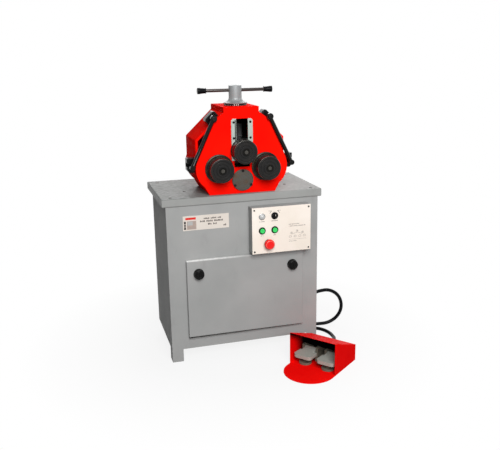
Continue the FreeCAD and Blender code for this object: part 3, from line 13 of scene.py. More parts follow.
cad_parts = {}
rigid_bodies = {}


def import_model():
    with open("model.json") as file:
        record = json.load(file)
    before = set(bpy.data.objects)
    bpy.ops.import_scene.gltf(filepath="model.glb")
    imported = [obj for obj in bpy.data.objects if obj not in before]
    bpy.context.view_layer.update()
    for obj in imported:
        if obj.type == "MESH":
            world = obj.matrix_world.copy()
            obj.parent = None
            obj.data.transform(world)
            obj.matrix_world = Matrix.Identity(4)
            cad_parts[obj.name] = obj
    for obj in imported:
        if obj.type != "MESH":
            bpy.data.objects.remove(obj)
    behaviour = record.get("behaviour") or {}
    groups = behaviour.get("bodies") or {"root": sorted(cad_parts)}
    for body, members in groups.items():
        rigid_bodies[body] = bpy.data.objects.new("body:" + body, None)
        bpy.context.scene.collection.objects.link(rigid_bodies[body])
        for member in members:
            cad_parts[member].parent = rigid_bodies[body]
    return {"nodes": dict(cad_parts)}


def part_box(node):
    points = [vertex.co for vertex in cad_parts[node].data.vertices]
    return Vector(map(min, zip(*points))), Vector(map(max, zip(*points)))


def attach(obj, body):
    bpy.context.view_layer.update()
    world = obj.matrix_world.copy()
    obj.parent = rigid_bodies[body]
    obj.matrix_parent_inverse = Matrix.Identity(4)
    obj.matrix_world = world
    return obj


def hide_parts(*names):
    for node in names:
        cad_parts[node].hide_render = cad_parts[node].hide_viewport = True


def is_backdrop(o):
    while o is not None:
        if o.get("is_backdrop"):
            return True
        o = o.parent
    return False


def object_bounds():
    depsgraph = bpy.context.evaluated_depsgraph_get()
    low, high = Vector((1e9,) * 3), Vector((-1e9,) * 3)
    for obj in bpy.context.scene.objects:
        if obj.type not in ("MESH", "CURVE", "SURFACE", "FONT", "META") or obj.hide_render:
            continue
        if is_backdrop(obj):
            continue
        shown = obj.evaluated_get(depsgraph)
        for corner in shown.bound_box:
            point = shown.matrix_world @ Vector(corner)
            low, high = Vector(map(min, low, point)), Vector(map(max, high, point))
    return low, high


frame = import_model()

LOG = logging.getLogger("ring_roller")

Point = tuple[float, float, float]
Colour = tuple[float, float, float]
Grid = tuple[np.ndarray, np.ndarray]
Piece = bpy.types.Object
Material = bpy.types.Material
Socket = bpy.types.NodeSocket
Input = bpy.types.NodeSocket | float | tuple[float, ...]

MM = 0.001
MERGE = 2e-6
CREASE = math.radians(35.0)
PRINT = 0.12
CAD_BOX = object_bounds()
# The middle of the table top on the floor, where the drawing starts, in metres.
TABLE = np.mean(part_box("table_top"), axis=0) * (1.0, 1.0, 0.0)


def drawn(x: float, y: float, z: float) -> np.ndarray:
    """Turn a point of the drawing into the frame.

    Args:
        x: millimetres to the right of the table's middle.
        y: millimetres behind the table's middle.
        z: millimetres above the floor.

    Returns:
        The point in the row frame, in metres.
    """
    return TABLE + np.array([x, y, z]) * MM


def span(node: str) -> np.ndarray:
    """Lowest and highest corner of a CAD node, in millimetres of the drawing, as two rows."""
    return (np.array(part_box(node), float) - TABLE) / MM


def linear(red: int, green: int, blue: int) -> Colour:
    """Turn a display colour into the linear colour that the shaders use.

    Args:
        red: red, up to 255.
        green: green.
        blue: blue.

    Returns:
        The linear colour.
    """
    share = np.array([red, green, blue]) / 255.0
    low = share / 12.92
    high = ((share + 0.055) / 1.055) ** 2.4
    return tuple(float(v) for v in np.where(share <= 0.04045, low, high))


class Axis(Enum):
    """The direction that a turned piece's axis points in."""

    TO_FRONT = (0.0, -1.0, 0.0)
    TO_BACK = (0.0, 1.0, 0.0)
    UP = (0.0, 0.0, 1.0)
    TO_RIGHT = (1.0, 0.0, 0.0)

    @property
    def way(self) -> np.ndarray:
        """The direction as an array one long."""
        return np.array(self.value)


# ---------------------------------------------------------------- surfaces


def axis_frame(axis: np.ndarray) -> tuple[np.ndarray, np.ndarray, np.ndarray]:
    """Two unit vectors across an axis and the axis itself, right-handed.

    Args:
        axis: direction, of any length.

    Returns:
        Two vectors at right angles to the axis, and the axis made one long.
    """
    along = axis / np.linalg.norm(axis)
    helper = (Axis.UP if abs(along[2]) < 0.9 else Axis.TO_RIGHT).way
    across = np.cross(helper, along)
    across = across / np.linalg.norm(across)
    return across, np.cross(along, across), along


def ring_faces(rings: int, around: int) -> np.ndarray:
    """Quads between stacked closed rings of points, numbered ring by ring.

    Args:
        rings: number of rings.
        around: number of points in each ring.

    Returns:
        An array of four point numbers a face.
    """
    ring = np.arange(rings - 1)[:, None] * around
    point = np.arange(around)[None, :]
    beside = (point + 1) % around
    corners = (ring + point, ring + beside, ring + around + beside, ring + around + point)
    return np.stack(corners, axis=-1).reshape(-1, 4)


def link(name: str, data: bpy.types.ID) -> Piece:
    """Put new data into the scene, as an object at the origin.

    Args:
        name: name of the object.
        data: its mesh, curve, lamp or camera.

    Returns:
        The new object.
    """
    piece = bpy.data.objects.new(name, data)
    bpy.context.scene.collection.objects.link(piece)
    return piece


def link_smooth(name: str, mesh: bpy.types.Mesh) -> Piece:
    """Shade a mesh smooth except at its creases, and put it into the scene.

    Args:
        name: name of the object.
        mesh: the mesh.

    Returns:
        The new object.
    """
    mesh.shade_smooth()
    mesh.set_sharp_from_angle(angle=CREASE)
    return link(name, mesh)


def make_piece(name: str, parts: list[Grid]) -> Piece:
    """Make one mesh object of several grids, merge its doubled points and turn it outwards.

    Args:
        name: name of the object.
        parts: points and faces of each grid.

    Returns:
        The new object, linked to the scene.
    """
    sites = [points.reshape(-1, 3) for points, _ in parts]
    starts = np.cumsum([0, *(len(rows) for rows in sites[:-1])])
    faces = np.concatenate([quads + start for (_, quads), start in zip(parts, starts)])
    mesh = bpy.data.meshes.new(name)
    mesh.from_pydata(np.concatenate(sites), [], faces.tolist())
    shape = bmesh.new()
    shape.from_mesh(mesh)
    bmesh.ops.remove_doubles(shape, verts=shape.verts, dist=MERGE / 2)
    bmesh.ops.dissolve_degenerate(shape, edges=shape.edges, dist=MERGE / 20)
    bmesh.ops.recalc_face_normals(shape, faces=shape.faces)
    shape.to_mesh(mesh)
    shape.free()
    return link_smooth(name, mesh)


def rounded_profile(corners: list[Point], steps: int = 4) -> np.ndarray:
    """Round the corners of a profile.

    Each corner (r, h, c) is cut back by c along both its edges, and a quadratic curve through the
    corner's two cut points, pulled to the corner itself, joins them.

    Args:
        corners: radius, height and cut-back of each corner, in millimetres.
        steps: points along each rounded corner, less one.

    Returns:
        Rows of radius and height in millimetres.
    """
    sites = np.array([corner[:2] for corner in corners], float)
    rows = []
    share = np.linspace(0.0, 1.0, steps + 1)[:, None]
    for index, (_, _, cut) in enumerate(corners):
        here = sites[index]
        if cut <= 0 or index in (0, len(corners) - 1):
            rows.append(here[None, :])
            continue
        to_last = sites[index - 1] - here
        to_next = sites[index + 1] - here
        start = here + to_last / np.linalg.norm(to_last) * cut
        end = here + to_next / np.linalg.norm(to_next) * cut
        rows.append((1 - share) ** 2 * start + 2 * share * (1 - share) * here + share**2 * end)
    return np.concatenate(rows)


def lathe(
    profile: np.ndarray,
    centre: np.ndarray,
    axis: np.ndarray,
    segments: int = 72,
    swell: np.ndarray | float = 1.0,
) -> Grid:
    """Turn a profile about an axis: point(i, a) = centre + r_i s_ia (u cos a + v sin a) + h_i w.

    Args:
        profile: rows of radius and height in millimetres.
        centre: where the height is zero, in metres.
        axis: direction w of growing height.
        segments: number of steps round the axis.
        swell: factor s of the radius, the same everywhere or a row for each of the profile's.

    Returns:
        Points and faces of the surface.
    """
    across, aside, along = axis_frame(axis)
    angle = np.linspace(0, 2 * np.pi, segments, endpoint=False)
    ring = np.cos(angle)[:, None] * across + np.sin(angle)[:, None] * aside
    radius = (profile[:, :1] * swell)[:, :, None] * MM
    points = centre + radius * ring[None, :, :] + profile[:, 1:, None] * MM * along
    return points, ring_faces(len(profile), segments)


def front_disc(
    profile: list[Point], x: float, z: float, place: float, segments: int = 72, steps: int = 4
) -> Grid:
    """A turned piece on an axis that runs back from the front.

    Args:
        profile: radius, distance in front of the place, and cut-back of each corner.
        x: axis in millimetres on the drawing.
        z: axis above the floor.
        place: Y where the distance is zero.
        segments: steps round the axis.
        steps: points along each rounded corner, less one.

    Returns:
        Points and faces.
    """
    return lathe(rounded_profile(profile, steps), drawn(x, place, z), Axis.TO_FRONT.way, segments)


def cap_screw(
    box: tuple[np.ndarray, np.ndarray],
    axis: Axis,
    lift: float,
    socket: float,
    shank: float,
    cut: float = 0.3,
    segments: int = 24,
) -> list[Grid]:
    """A screw that fills a box: a head with a hexagon socket and a plain shank behind it.

    The head's outer rings are circles. From the socket's rim inwards the radius at angle a is that
    of a hexagon, s / cos(((a + 30) mod 60) - 30), down to a flat floor.

    Args:
        box: lowest and highest corner in metres.
        axis: direction in which the head points.
        lift: height of the head in millimetres.
        socket: distance from the axis to a flat of the socket, as a share of the head's radius.
        shank: radius of the shank, as the same share.
        cut: cut-back of the shank's end in millimetres.
        segments: steps round the shank.

    Returns:
        The closed head and the closed shank.
    """
    low, high = box
    way = axis.way
    along = int(np.abs(way).argmax())
    size = (high - low) / MM
    radius = size[0] / 2
    flat = radius * socket
    foot = (low + high) / 2
    foot[along] = (high if way[along] > 0 else low)[along]
    foot = foot - way * lift * MM
    rim = [(0, 0, 0), (radius, 0, 0), (radius, lift, 0.12 * radius), (flat * 1.35, lift, 0)]
    circles = rounded_profile(rim, 3)
    hexagon = np.array([(flat, lift), (flat * 0.97, lift * 0.35), (0, lift * 0.35)])
    around = 36
    sixth = np.pi / 3
    angle = np.linspace(0, 2 * np.pi, around, endpoint=False)
    swell = np.ones((len(circles) + len(hexagon), around))
    swell[len(circles):] = 1 / np.cos((angle + sixth / 2) % sixth - sixth / 2)
    head = lathe(np.concatenate([circles, hexagon]), foot, way, around, swell)
    tail, thick = size[along] - lift, radius * shank
    stem = rounded_profile([(0, -tail, 0), (thick, -tail, cut), (thick, 0, 0), (0, 0, 0)], 2)
    return [head, lathe(stem, foot, way, segments)]


def capped(rings: list[np.ndarray] | np.ndarray) -> Grid:
    """Close a stack of rings at the middle of its first and of its last ring.

    Args:
        rings: rows of points in millimetres of the drawing, as many in each ring.

    Returns:
        Points in metres and faces of the closed surface.
    """
    first, last = (np.broadcast_to(ring.mean(0), ring.shape) for ring in (rings[0], rings[-1]))
    points = TABLE + np.stack([first, *rings, last]) * MM
    return points, ring_faces(len(points), points.shape[1])


def block_grid(low: Point, high: Point) -> Grid:
    """A closed box: a rectangle at two heights.

    Args:
        low: its lowest corner in millimetres of the drawing.
        high: its highest corner.

    Returns:
        Points and faces.
    """
    (x, y, z), (right, back, top) = low, high
    rings = [[(x, y, up), (right, y, up), (right, back, up), (x, back, up)] for up in (z, top)]
    return capped(np.array(rings))


def flat_patch(
    left: float, low: float, width: float, height: float, place: float, thick: float = PRINT
) -> Grid:
    """A thin printed field facing the front: a rectangle at two depths.

    Args:
        left: left edge in millimetres on the drawing.
        low: lower edge.
        width: size across.
        height: size upwards.
        place: Y of the surface that it lies on.
        thick: height of the print.

    Returns:
        Points and faces of the closed field.
    """
    right, top = left + width, low + height
    rings = [
        [(left, y, low), (right, y, low), (right, y, top), (left, y, top)]
        for y in (place, place - thick)
    ]
    return capped(np.array(rings))


def stroke_line(
    left: float, low: float, width: float, height: float, place: float, turn: int = 0
) -> list[Grid]:
    """A printed line of plain upright strokes in groups, which reads as small print from afar.

    Stroke i stands at i times 0.8 heights. Every sixth or seventh place is left empty.

    Args:
        left: left edge in millimetres on the drawing.
        low: lower edge.
        width: length of the line.
        height: height of the strokes.
        place: Y of the surface that it lies on.
        turn: shifts the empty places along.

    Returns:
        One grid for each stroke.
    """
    pitch = 0.8 * height
    parts = []
    for index in range(int(width / pitch)):
        if (index + turn) % (6 + (index + turn) // 13 % 2) == 5:
            continue
        tall = height * (1.0 if (index * 5 + turn) % 3 else 0.74)
        parts.append(flat_patch(left + index * pitch, low, pitch * 0.72, tall, place))
    return parts


def flat_arc(
    x: float,
    z: float,
    radius: float,
    width: float,
    start: float,
    end: float,
    place: float,
    steps: int = 24,
) -> Grid:
    """A thin printed arc facing the front: a rectangle carried round a circle.

    Args:
        x: centre in millimetres on the drawing.
        z: centre in millimetres above the floor.
        radius: middle radius of the line.
        width: width of the line.
        start: first angle in degrees from straight up, clockwise.
        end: last angle.
        place: Y of the surface that it lies on.
        steps: pieces along the arc.

    Returns:
        Points and faces of the line, closed at its ends.
    """
    angle = np.radians(np.linspace(start, end, steps + 1))[:, None]
    radii = radius + np.array([-1, 1, 1, -1])[None, :] * width / 2
    depth = np.tile(place - np.array([0.0, 0.0, PRINT, PRINT]), (steps + 1, 1))
    return capped(np.stack([x + radii * np.sin(angle), depth, z + radii * np.cos(angle)], axis=-1))


# ---------------------------------------------------------------- finishes


class Nodes:
    """Adds nodes to a tree."""

    def __init__(self, tree: bpy.types.NodeTree) -> None:
        """Start on a tree."""
        self.tree = tree

    def fill(self, node: bpy.types.Node, given: dict[str | int, Input]) -> None:
        """Link or set a node's inputs.

        Args:
            node: the node.
            given: what each input gets, by the input's name or number.
        """
        for key, value in given.items():
            if isinstance(value, Socket):
                self.tree.links.new(value, node.inputs[key])
            else:
                node.inputs[key].default_value = value

    def add(
        self, kind: str, given: dict[str | int, Input], output: str | int = 0, **options: str
    ) -> Socket:
        """Add a node.

        Args:
            kind: its type, without the leading ShaderNode.
            given: what its inputs get.
            output: name or number of the wanted output.
            options: the node's own choices, such as its operation.

        Returns:
            The wanted output.
        """
        node = self.tree.nodes.new(f"ShaderNode{kind}")
        for name, choice in options.items():
            setattr(node, name, choice)
        self.fill(node, given)
        return node.outputs[output]

    def maths(self, operation: str, first: Socket, second: Input) -> Socket:
        """One arithmetic step between a value and another value or a number."""
        return self.add("Math", {0: first, 1: second}, operation=operation)

    def seen(self) -> Socket:
        """Tell what is looked at from what only lights the object.

        Returns:
            One for what the camera, a mirror or a glass sees, else nought.
        """
        path = self.tree.nodes.new("ShaderNodeLightPath")
        either = path.outputs["Is Camera Ray"]
        for ray in ("Is Glossy Ray", "Is Transmission Ray"):
            either = self.maths("MAXIMUM", either, path.outputs[ray])
        return either


class Shader(Nodes):
    """Builds one material's node tree."""

    def __init__(self, name: str) -> None:
        """Start a material with an empty Principled surface.

        Args:
            name: name of the material.
        """
        self.material = bpy.data.materials.new(name)
        self.material.use_nodes = True
        super().__init__(self.material.node_tree)
        self.surface = self.tree.nodes["Principled BSDF"]
        self.place = self.add("TexCoord", {}, "Object")

    def feed(self, given: dict[str | int, Input]) -> None:
        """Link or set the surface's own sockets."""
        self.fill(self.surface, given)

    def moved(self, centre: Point = (0.0, 0.0, 0.0), stretch: Point = (1.0, 1.0, 1.0)) -> Socket:
        """Coordinates that start at a point of the piece.

        Args:
            centre: the point, in metres.
            stretch: factor along each axis.

        Returns:
            The moved coordinates.
        """
        start = tuple(-np.array(centre, float) * stretch)
        return self.add("Mapping", {"Vector": self.place, "Location": start, "Scale": stretch})

    def noise(
        self, scale: float, detail: float, rough: float = 0.5, at: Socket | None = None
    ) -> Socket:
        """Soft noise.

        Args:
            scale: waves a metre.
            detail: octaves.
            rough: weight of the finer octaves.
            at: coordinates, or none for the piece's own.

        Returns:
            The noise's value.
        """
        given = {"Vector": at or self.place, "Scale": scale, "Detail": detail, "Roughness": rough}
        return self.add("TexNoise", given, "Fac")

    def cells(self, scale: float) -> Socket:
        """Distance to the nearest of scattered points, a number of them a metre."""
        return self.add("TexVoronoi", {"Vector": self.place, "Scale": scale}, "Distance")

    def spread(
        self, value: Socket, low: float, high: float, to_low: float = 0.0, to_high: float = 1.0
    ) -> Socket:
        """Carry one range of a value to another, with its ends held.

        Args:
            value: the value.
            low: start of its range.
            high: end of its range.
            to_low: what low becomes.
            to_high: what high becomes.

        Returns:
            The new value.
        """
        ends = {"From Min": low, "From Max": high, "To Min": to_low, "To Max": to_high}
        return self.add("MapRange", {"Value": value, **ends})

    def step(self, value: Socket, edge: float, half: float, falls: bool = False) -> Socket:
        """Nought below an edge and one above it, or turned round.

        Args:
            value: the value.
            edge: where it passes a half.
            half: distance from there to nought and to one.
            falls: the step is one below the edge.

        Returns:
            The step.
        """
        return self.spread(value, edge - half, edge + half, float(falls), float(not falls))

    def product(self, first: Socket, *others: Socket) -> Socket:
        """Multiply values with each other.

        Args:
            first: the first value.
            others: the rest.

        Returns:
            Their product.
        """
        for other in others:
            first = self.maths("MULTIPLY", first, other)
        return first

    def reach(self, centre: Point, way: Point) -> Socket:
        """Distance from a point along one direction, in metres."""
        given = {0: self.moved(centre), 1: way}
        return self.add("VectorMath", given, "Value", operation="DOT_PRODUCT")

    def radius(self, centre: Point, axis: Axis) -> Socket:
        """Distance from an axis through a point, in metres."""
        flat = tuple(0.0 if abs(part) > 0.5 else 1.0 for part in axis.value)
        return self.add("VectorMath", {0: self.moved(centre, flat)}, "Value", operation="LENGTH")

    def rings(self, centre: Point, axis: Axis, pitch: float) -> Socket:
        """Uneven concentric tool marks: noise over the distance from the axis alone.

        Args:
            centre: a point on the axis, in metres.
            axis: direction of the axis.
            pitch: width of a mark in millimetres.

        Returns:
            A value from 0 to 1.
        """
        away = self.maths("MULTIPLY", self.radius(centre, axis), 1 / (pitch * MM))
        given = {"W": away, "Scale": 1.0, "Detail": 2.0}
        return self.add("TexNoise", given, "Fac", noise_dimensions="1D")

    def over(self, share: Socket, under: Socket | Colour, colour: Colour) -> Socket:
        """Lay a colour over a colour or a varied tone, by a share."""
        below = (*under, 1.0) if isinstance(under, tuple) else under
        return self.add("Mix", {0: share, 6: below, 7: (*colour, 1.0)}, 2, data_type="RGBA")

    def relief(self, height: Socket, depth: float, strength: float) -> None:
        """Add a bump over whatever bump is there already.

        Args:
            height: value from 0 to 1.
            depth: millimetres between 0 and 1.
            strength: share of it that shows.
        """
        given = {"Strength": strength, "Distance": depth * MM, "Height": height}
        normal = self.surface.inputs["Normal"]
        if normal.is_linked:
            given["Normal"] = normal.links[0].from_socket
        self.feed({"Normal": self.add("Bump", given)})


@dataclass(frozen=True)
class Finish:
    """What every finish has: a tone, a second tone in patches, its roughness and its shine."""

    name: str
    colour: Colour
    second: Colour
    roughness: float = 0.35
    metallic: float = 0.0
    coat: float = 0.0
    coat_roughness: float = 0.08
    shine: float = 0.25

    def make(self) -> Material:
        """Build the material.

        Returns:
            The finished material.
        """
        shader = Shader(self.name)
        shader.feed({"Metallic": self.metallic, "Specular IOR Level": self.shine})
        shader.feed({"Coat Weight": self.coat, "Coat Roughness": self.coat_roughness})
        self.paint(shader)
        return shader.material

    def paint(self, shader: Shader) -> None:
        """Lay the tones and the relief, each kind of finish in its own way."""
        raise NotImplementedError

    def darker(self, light: float) -> Colour:
        """The first tone with a share of its light."""
        return tuple(part * light for part in self.colour)

    def rubbed(self, shader: Shader, value: Socket, end: float, low: float, high: float) -> Socket:
        """Roughness between two factors of the finish's own, by a value.

        Args:
            shader: the material's builder.
            value: the value, from 0.3 up.
            end: where it is at its highest.
            low: factor at the start.
            high: factor at the end.

        Returns:
            The roughness.
        """
        return shader.spread(value, 0.3, end, self.roughness * low, self.roughness * high)


@dataclass(frozen=True)
class Enamel(Finish):
    """Sprayed enamel: faint orange peel, cloudy tone, specks of dust and rubbed patches."""

    coat_roughness: float = 0.12
    peel: float = 0.05
    grime: Colour = (0.10, 0.09, 0.08)
    grime_share: float = 0.18

    def paint(self, shader: Shader) -> None:
        """Lay clouds, smears, specks, any painted light and shade, the rubbed patches and the
        orange peel.

        Args:
            shader: the material's builder.
        """
        clouds = shader.spread(shader.noise(scale=5, detail=4), low=0.35, high=0.65)
        tone = shader.over(clouds, self.colour, self.second)
        smears = shader.noise(22, 6, 0.62, at=shader.moved(stretch=(1.0, 1.0, 0.35)))
        dirt = shader.spread(smears, low=0.6, high=0.8, to_high=self.grime_share)
        tone = shader.over(dirt, tone, self.grime)
        specks = shader.spread(shader.cells(scale=330), 0.0, 0.1, self.grime_share, 0.0)
        tone = self.add_painted_light(shader, shader.over(specks, tone, self.grime))
        patches = shader.noise(scale=60, detail=5, rough=0.6)
        wear = self.rubbed(shader, patches, end=0.75, low=0.8, high=1.5)
        shader.feed({"Base Color": tone, "Roughness": wear})
        fine, coarse = (shader.noise(scale, detail=2, rough=0.4) for scale in (420, 18))
        shader.relief(fine, self.peel, strength=0.5)
        shader.relief(coarse, self.peel * 5, strength=0.35)

    def add_painted_light(self, shader: Shader, tone: Socket) -> Socket:
        """The tone with whatever painted light and shade the piece's kind adds; plain enamel adds
        none.
        """
        return tone


@dataclass(frozen=True)
class ShadedHoodEnamel(Enamel):
    """Enamel of a low hood whose inside is painted dark as shade towards the back and the roof."""

    corner: Point = (0.0, 0.0, 0.0)
    turn: float = 0.0
    wide: float = 0.2
    deep: float = 0.17
    high: float = 0.131
    low: float = 0.066
    sheet: float = 0.001
    soft: float = 0.0001
    painted_shade: Colour = (0.004, 0.0035, 0.004)

    def add_painted_light(self, shader: Shader, tone: Socket) -> Socket:
        """Lay painted shade over what lies within the hood's middle sheet surface.

        Args:
            shader: the material's builder.
            tone: the enamel's colour.

        Returns:
            The enamel outside, the painted shade inside.
        """
        cosine, sine = math.cos(math.radians(self.turn)), math.sin(math.radians(self.turn))
        across = shader.reach(self.corner, (cosine, sine, 0.0))
        inwards = shader.reach(self.corner, (-sine, cosine, 0.0))
        up = shader.reach(self.corner, Axis.UP.value)
        fall = (self.high - self.low) / self.deep
        eaves = self.corner + np.array([0.0, 0.0, self.high])
        below = shader.reach(eaves, (sine * -fall, cosine * fall, 1.0))
        starts = [shader.step(value, self.sheet, self.soft) for value in (across, up)]
        walls = (
            (across, self.wide - self.sheet),
            (inwards, self.deep - self.sheet),
            (below, -self.sheet - self.soft),
        )
        ends = [shader.step(value, edge, self.soft, True) for value, edge in walls]
        # Painted shade grows towards the back and under the roof, where the hood's inside lies in
        # shade.
        back = shader.spread(inwards, 0.045, 0.1)
        roof = shader.spread(below, -0.03, -0.006)
        share = shader.product(shader.maths("MAXIMUM", back, roof), *starts, *ends)
        return shader.over(share, tone, self.painted_shade)


@dataclass(frozen=True)
class ShadedHollowEnamel(Enamel):
    """Enamel of a casing whose hollow, a box of the drawing, is painted dark as shade."""

    low: Point = (0.0, 0.0, 0.0)
    high: Point = (0.1, 0.1, 0.1)
    soft: float = 0.0005
    painted_shade: Colour = (0.006, 0.004, 0.004)

    def add_painted_light(self, shader: Shader, tone: Socket) -> Socket:
        """Lay painted shade over what lies within the box.

        Args:
            shader: the material's builder.
            tone: the enamel's colour.

        Returns:
            The enamel outside, the painted shade inside.
        """
        steps = []
        for way, size in zip(np.eye(3), np.subtract(self.high, self.low)):
            place = shader.reach(self.low, tuple(way))
            steps += [shader.step(place, 0.0, self.soft), shader.step(place, size, self.soft, True)]
        return shader.over(shader.product(*steps), tone, self.painted_shade)


@dataclass(frozen=True)
class PaintedLightEnamel(Enamel):
    """Enamel with another tone painted above a level that stands for light, such as a painted
    highlight along the door's top edge and painted shade over the table's top.
    """

    level: float = 0.0
    depth: float = 0.0025
    # Tone laid above the level: pale for a painted highlight, dark for painted shade.
    line: Colour = (0.8, 0.8, 0.8)
    painted_light_share: float = 0.8
    fade: tuple[float, float] = (-9.0, 9.0)

    def add_painted_light(self, shader: Shader, tone: Socket) -> Socket:
        """Lay the painted light, another tone, over what lies above the level, fading out to the
        right.

        Args:
            shader: the material's builder.
            tone: the enamel's colour.

        Returns:
            The enamel with its painted light above the level.
        """
        up = shader.reach((0.0, 0.0, 0.0), Axis.UP.value)
        right = shader.reach(TABLE, Axis.TO_RIGHT.value)
        foot, top = self.level - self.depth, self.level - self.depth * 0.4
        share = shader.product(
            shader.spread(up, foot, top, 0.0, self.painted_light_share),
            shader.spread(right, *self.fade, 1.0, 0.25),
            shader.spread(shader.noise(60, 4, 0.6), 0.3, 0.6, 0.6, 1.0),
        )
        return shader.over(share, tone, self.line)


@dataclass(frozen=True)
class Turned(Finish):
    """A turned piece: concentric tool marks round one axis, with stained and rubbed zones."""

    centre: Point = (0.0, 0.0, 0.0)
    axis: Axis = Axis.TO_FRONT
    pitch: float = 1.1
    depth: float = 0.05
    share: float = 0.6

    def paint(self, shader: Shader) -> None:
        """Lay the stains and the coarse and fine marks.

        Args:
            shader: the material's builder.
        """
        marks = shader.rings(self.centre, self.axis, self.pitch)
        fine = shader.rings(self.centre, self.axis, self.pitch * 0.3)
        clouds = shader.noise(scale=38, detail=5, rough=0.6)
        stains = shader.spread(clouds, low=0.42, high=0.68, to_high=self.share)
        tone = shader.over(stains, self.colour, self.second)
        cuts = shader.spread(marks, low=0.5, high=0.75, to_high=0.5)
        tone = shader.over(cuts, tone, self.darker(light=0.55))
        wear = self.rubbed(shader, fine, end=0.7, low=0.75, high=1.35)
        shader.feed({"Base Color": tone, "Roughness": wear})
        shader.relief(marks, self.depth, strength=0.7)
        shader.relief(fine, self.depth * 0.4, strength=0.6)


@dataclass(frozen=True)
class Skin:
    """How a grained finish is laid, from one noise for its patches and one for its grain.

    The patches are given by waves a metre, octaves and the weight of the finer ones, the grain by
    octaves and that weight. An edge is where the second tone, or the dark in the grain, starts and
    where it is full. The wear is the factor of the roughness at both ends of the grain.
    """

    patches: tuple[float, float, float]
    patch_edge: tuple[float, float]
    grain: tuple[float, float]
    dark_edge: tuple[float, float]
    dark_share: float
    dark_light: float
    wear: tuple[float, float]


class Kind(Enum):
    """Kinds of grained finish: milled metal, castings and dull steel, plastic and rubber."""

    MACHINED = Skin((30, 6, 0.65), (0.48, 0.72), (3, 0.6), (0.45, 0.75), 0.35, 0.5, (0.8, 1.3))
    CAST = Skin((70, 6, 0.7), (0.55, 0.75), (4, 0.6), (0.5, 0.7), 0.6, 0.6, (0.8, 1.2))
    MOULDED = Skin((90, 5, 0.65), (0.5, 0.75), (3, 0.5), (0.5, 0.7), 0.0, 1.0, (0.85, 1.2))


@dataclass(frozen=True)
class Grained(Finish):
    """A grained finish: dark in the grain, with spots of a second tone."""

    kind: Kind = Kind.MOULDED
    grain: float = 700.0
    depth: float = 0.03
    share: float = 0.25
    stretch: Point = (1.0, 1.0, 1.0)

    def paint(self, shader: Shader) -> None:
        """Lay the spots and the grain.

        Args:
            shader: the material's builder.
        """
        skin = self.kind.value
        grain = shader.noise(self.grain, *skin.grain, at=shader.moved(stretch=self.stretch))
        patches = shader.noise(*skin.patches)
        spots = shader.spread(patches, *skin.patch_edge, to_high=self.share)
        tone = shader.over(spots, self.colour, self.second)
        dark = shader.spread(grain, *skin.dark_edge, to_high=skin.dark_share)
        tone = shader.over(dark, tone, self.darker(skin.dark_light))
        low, high = skin.wear
        wear = self.rubbed(shader, grain, end=0.7, low=low, high=high)
        shader.feed({"Base Color": tone, "Roughness": wear})
        shader.relief(grain, self.depth, strength=0.5)


GREY = linear(166, 166, 165)
GREY_CLOUD = linear(157, 158, 157)
RED = linear(255, 22, 8)
RED_CLOUD = linear(250, 14, 6)
RED_GRIME = linear(150, 6, 6)
CREAM = linear(250, 241, 232)


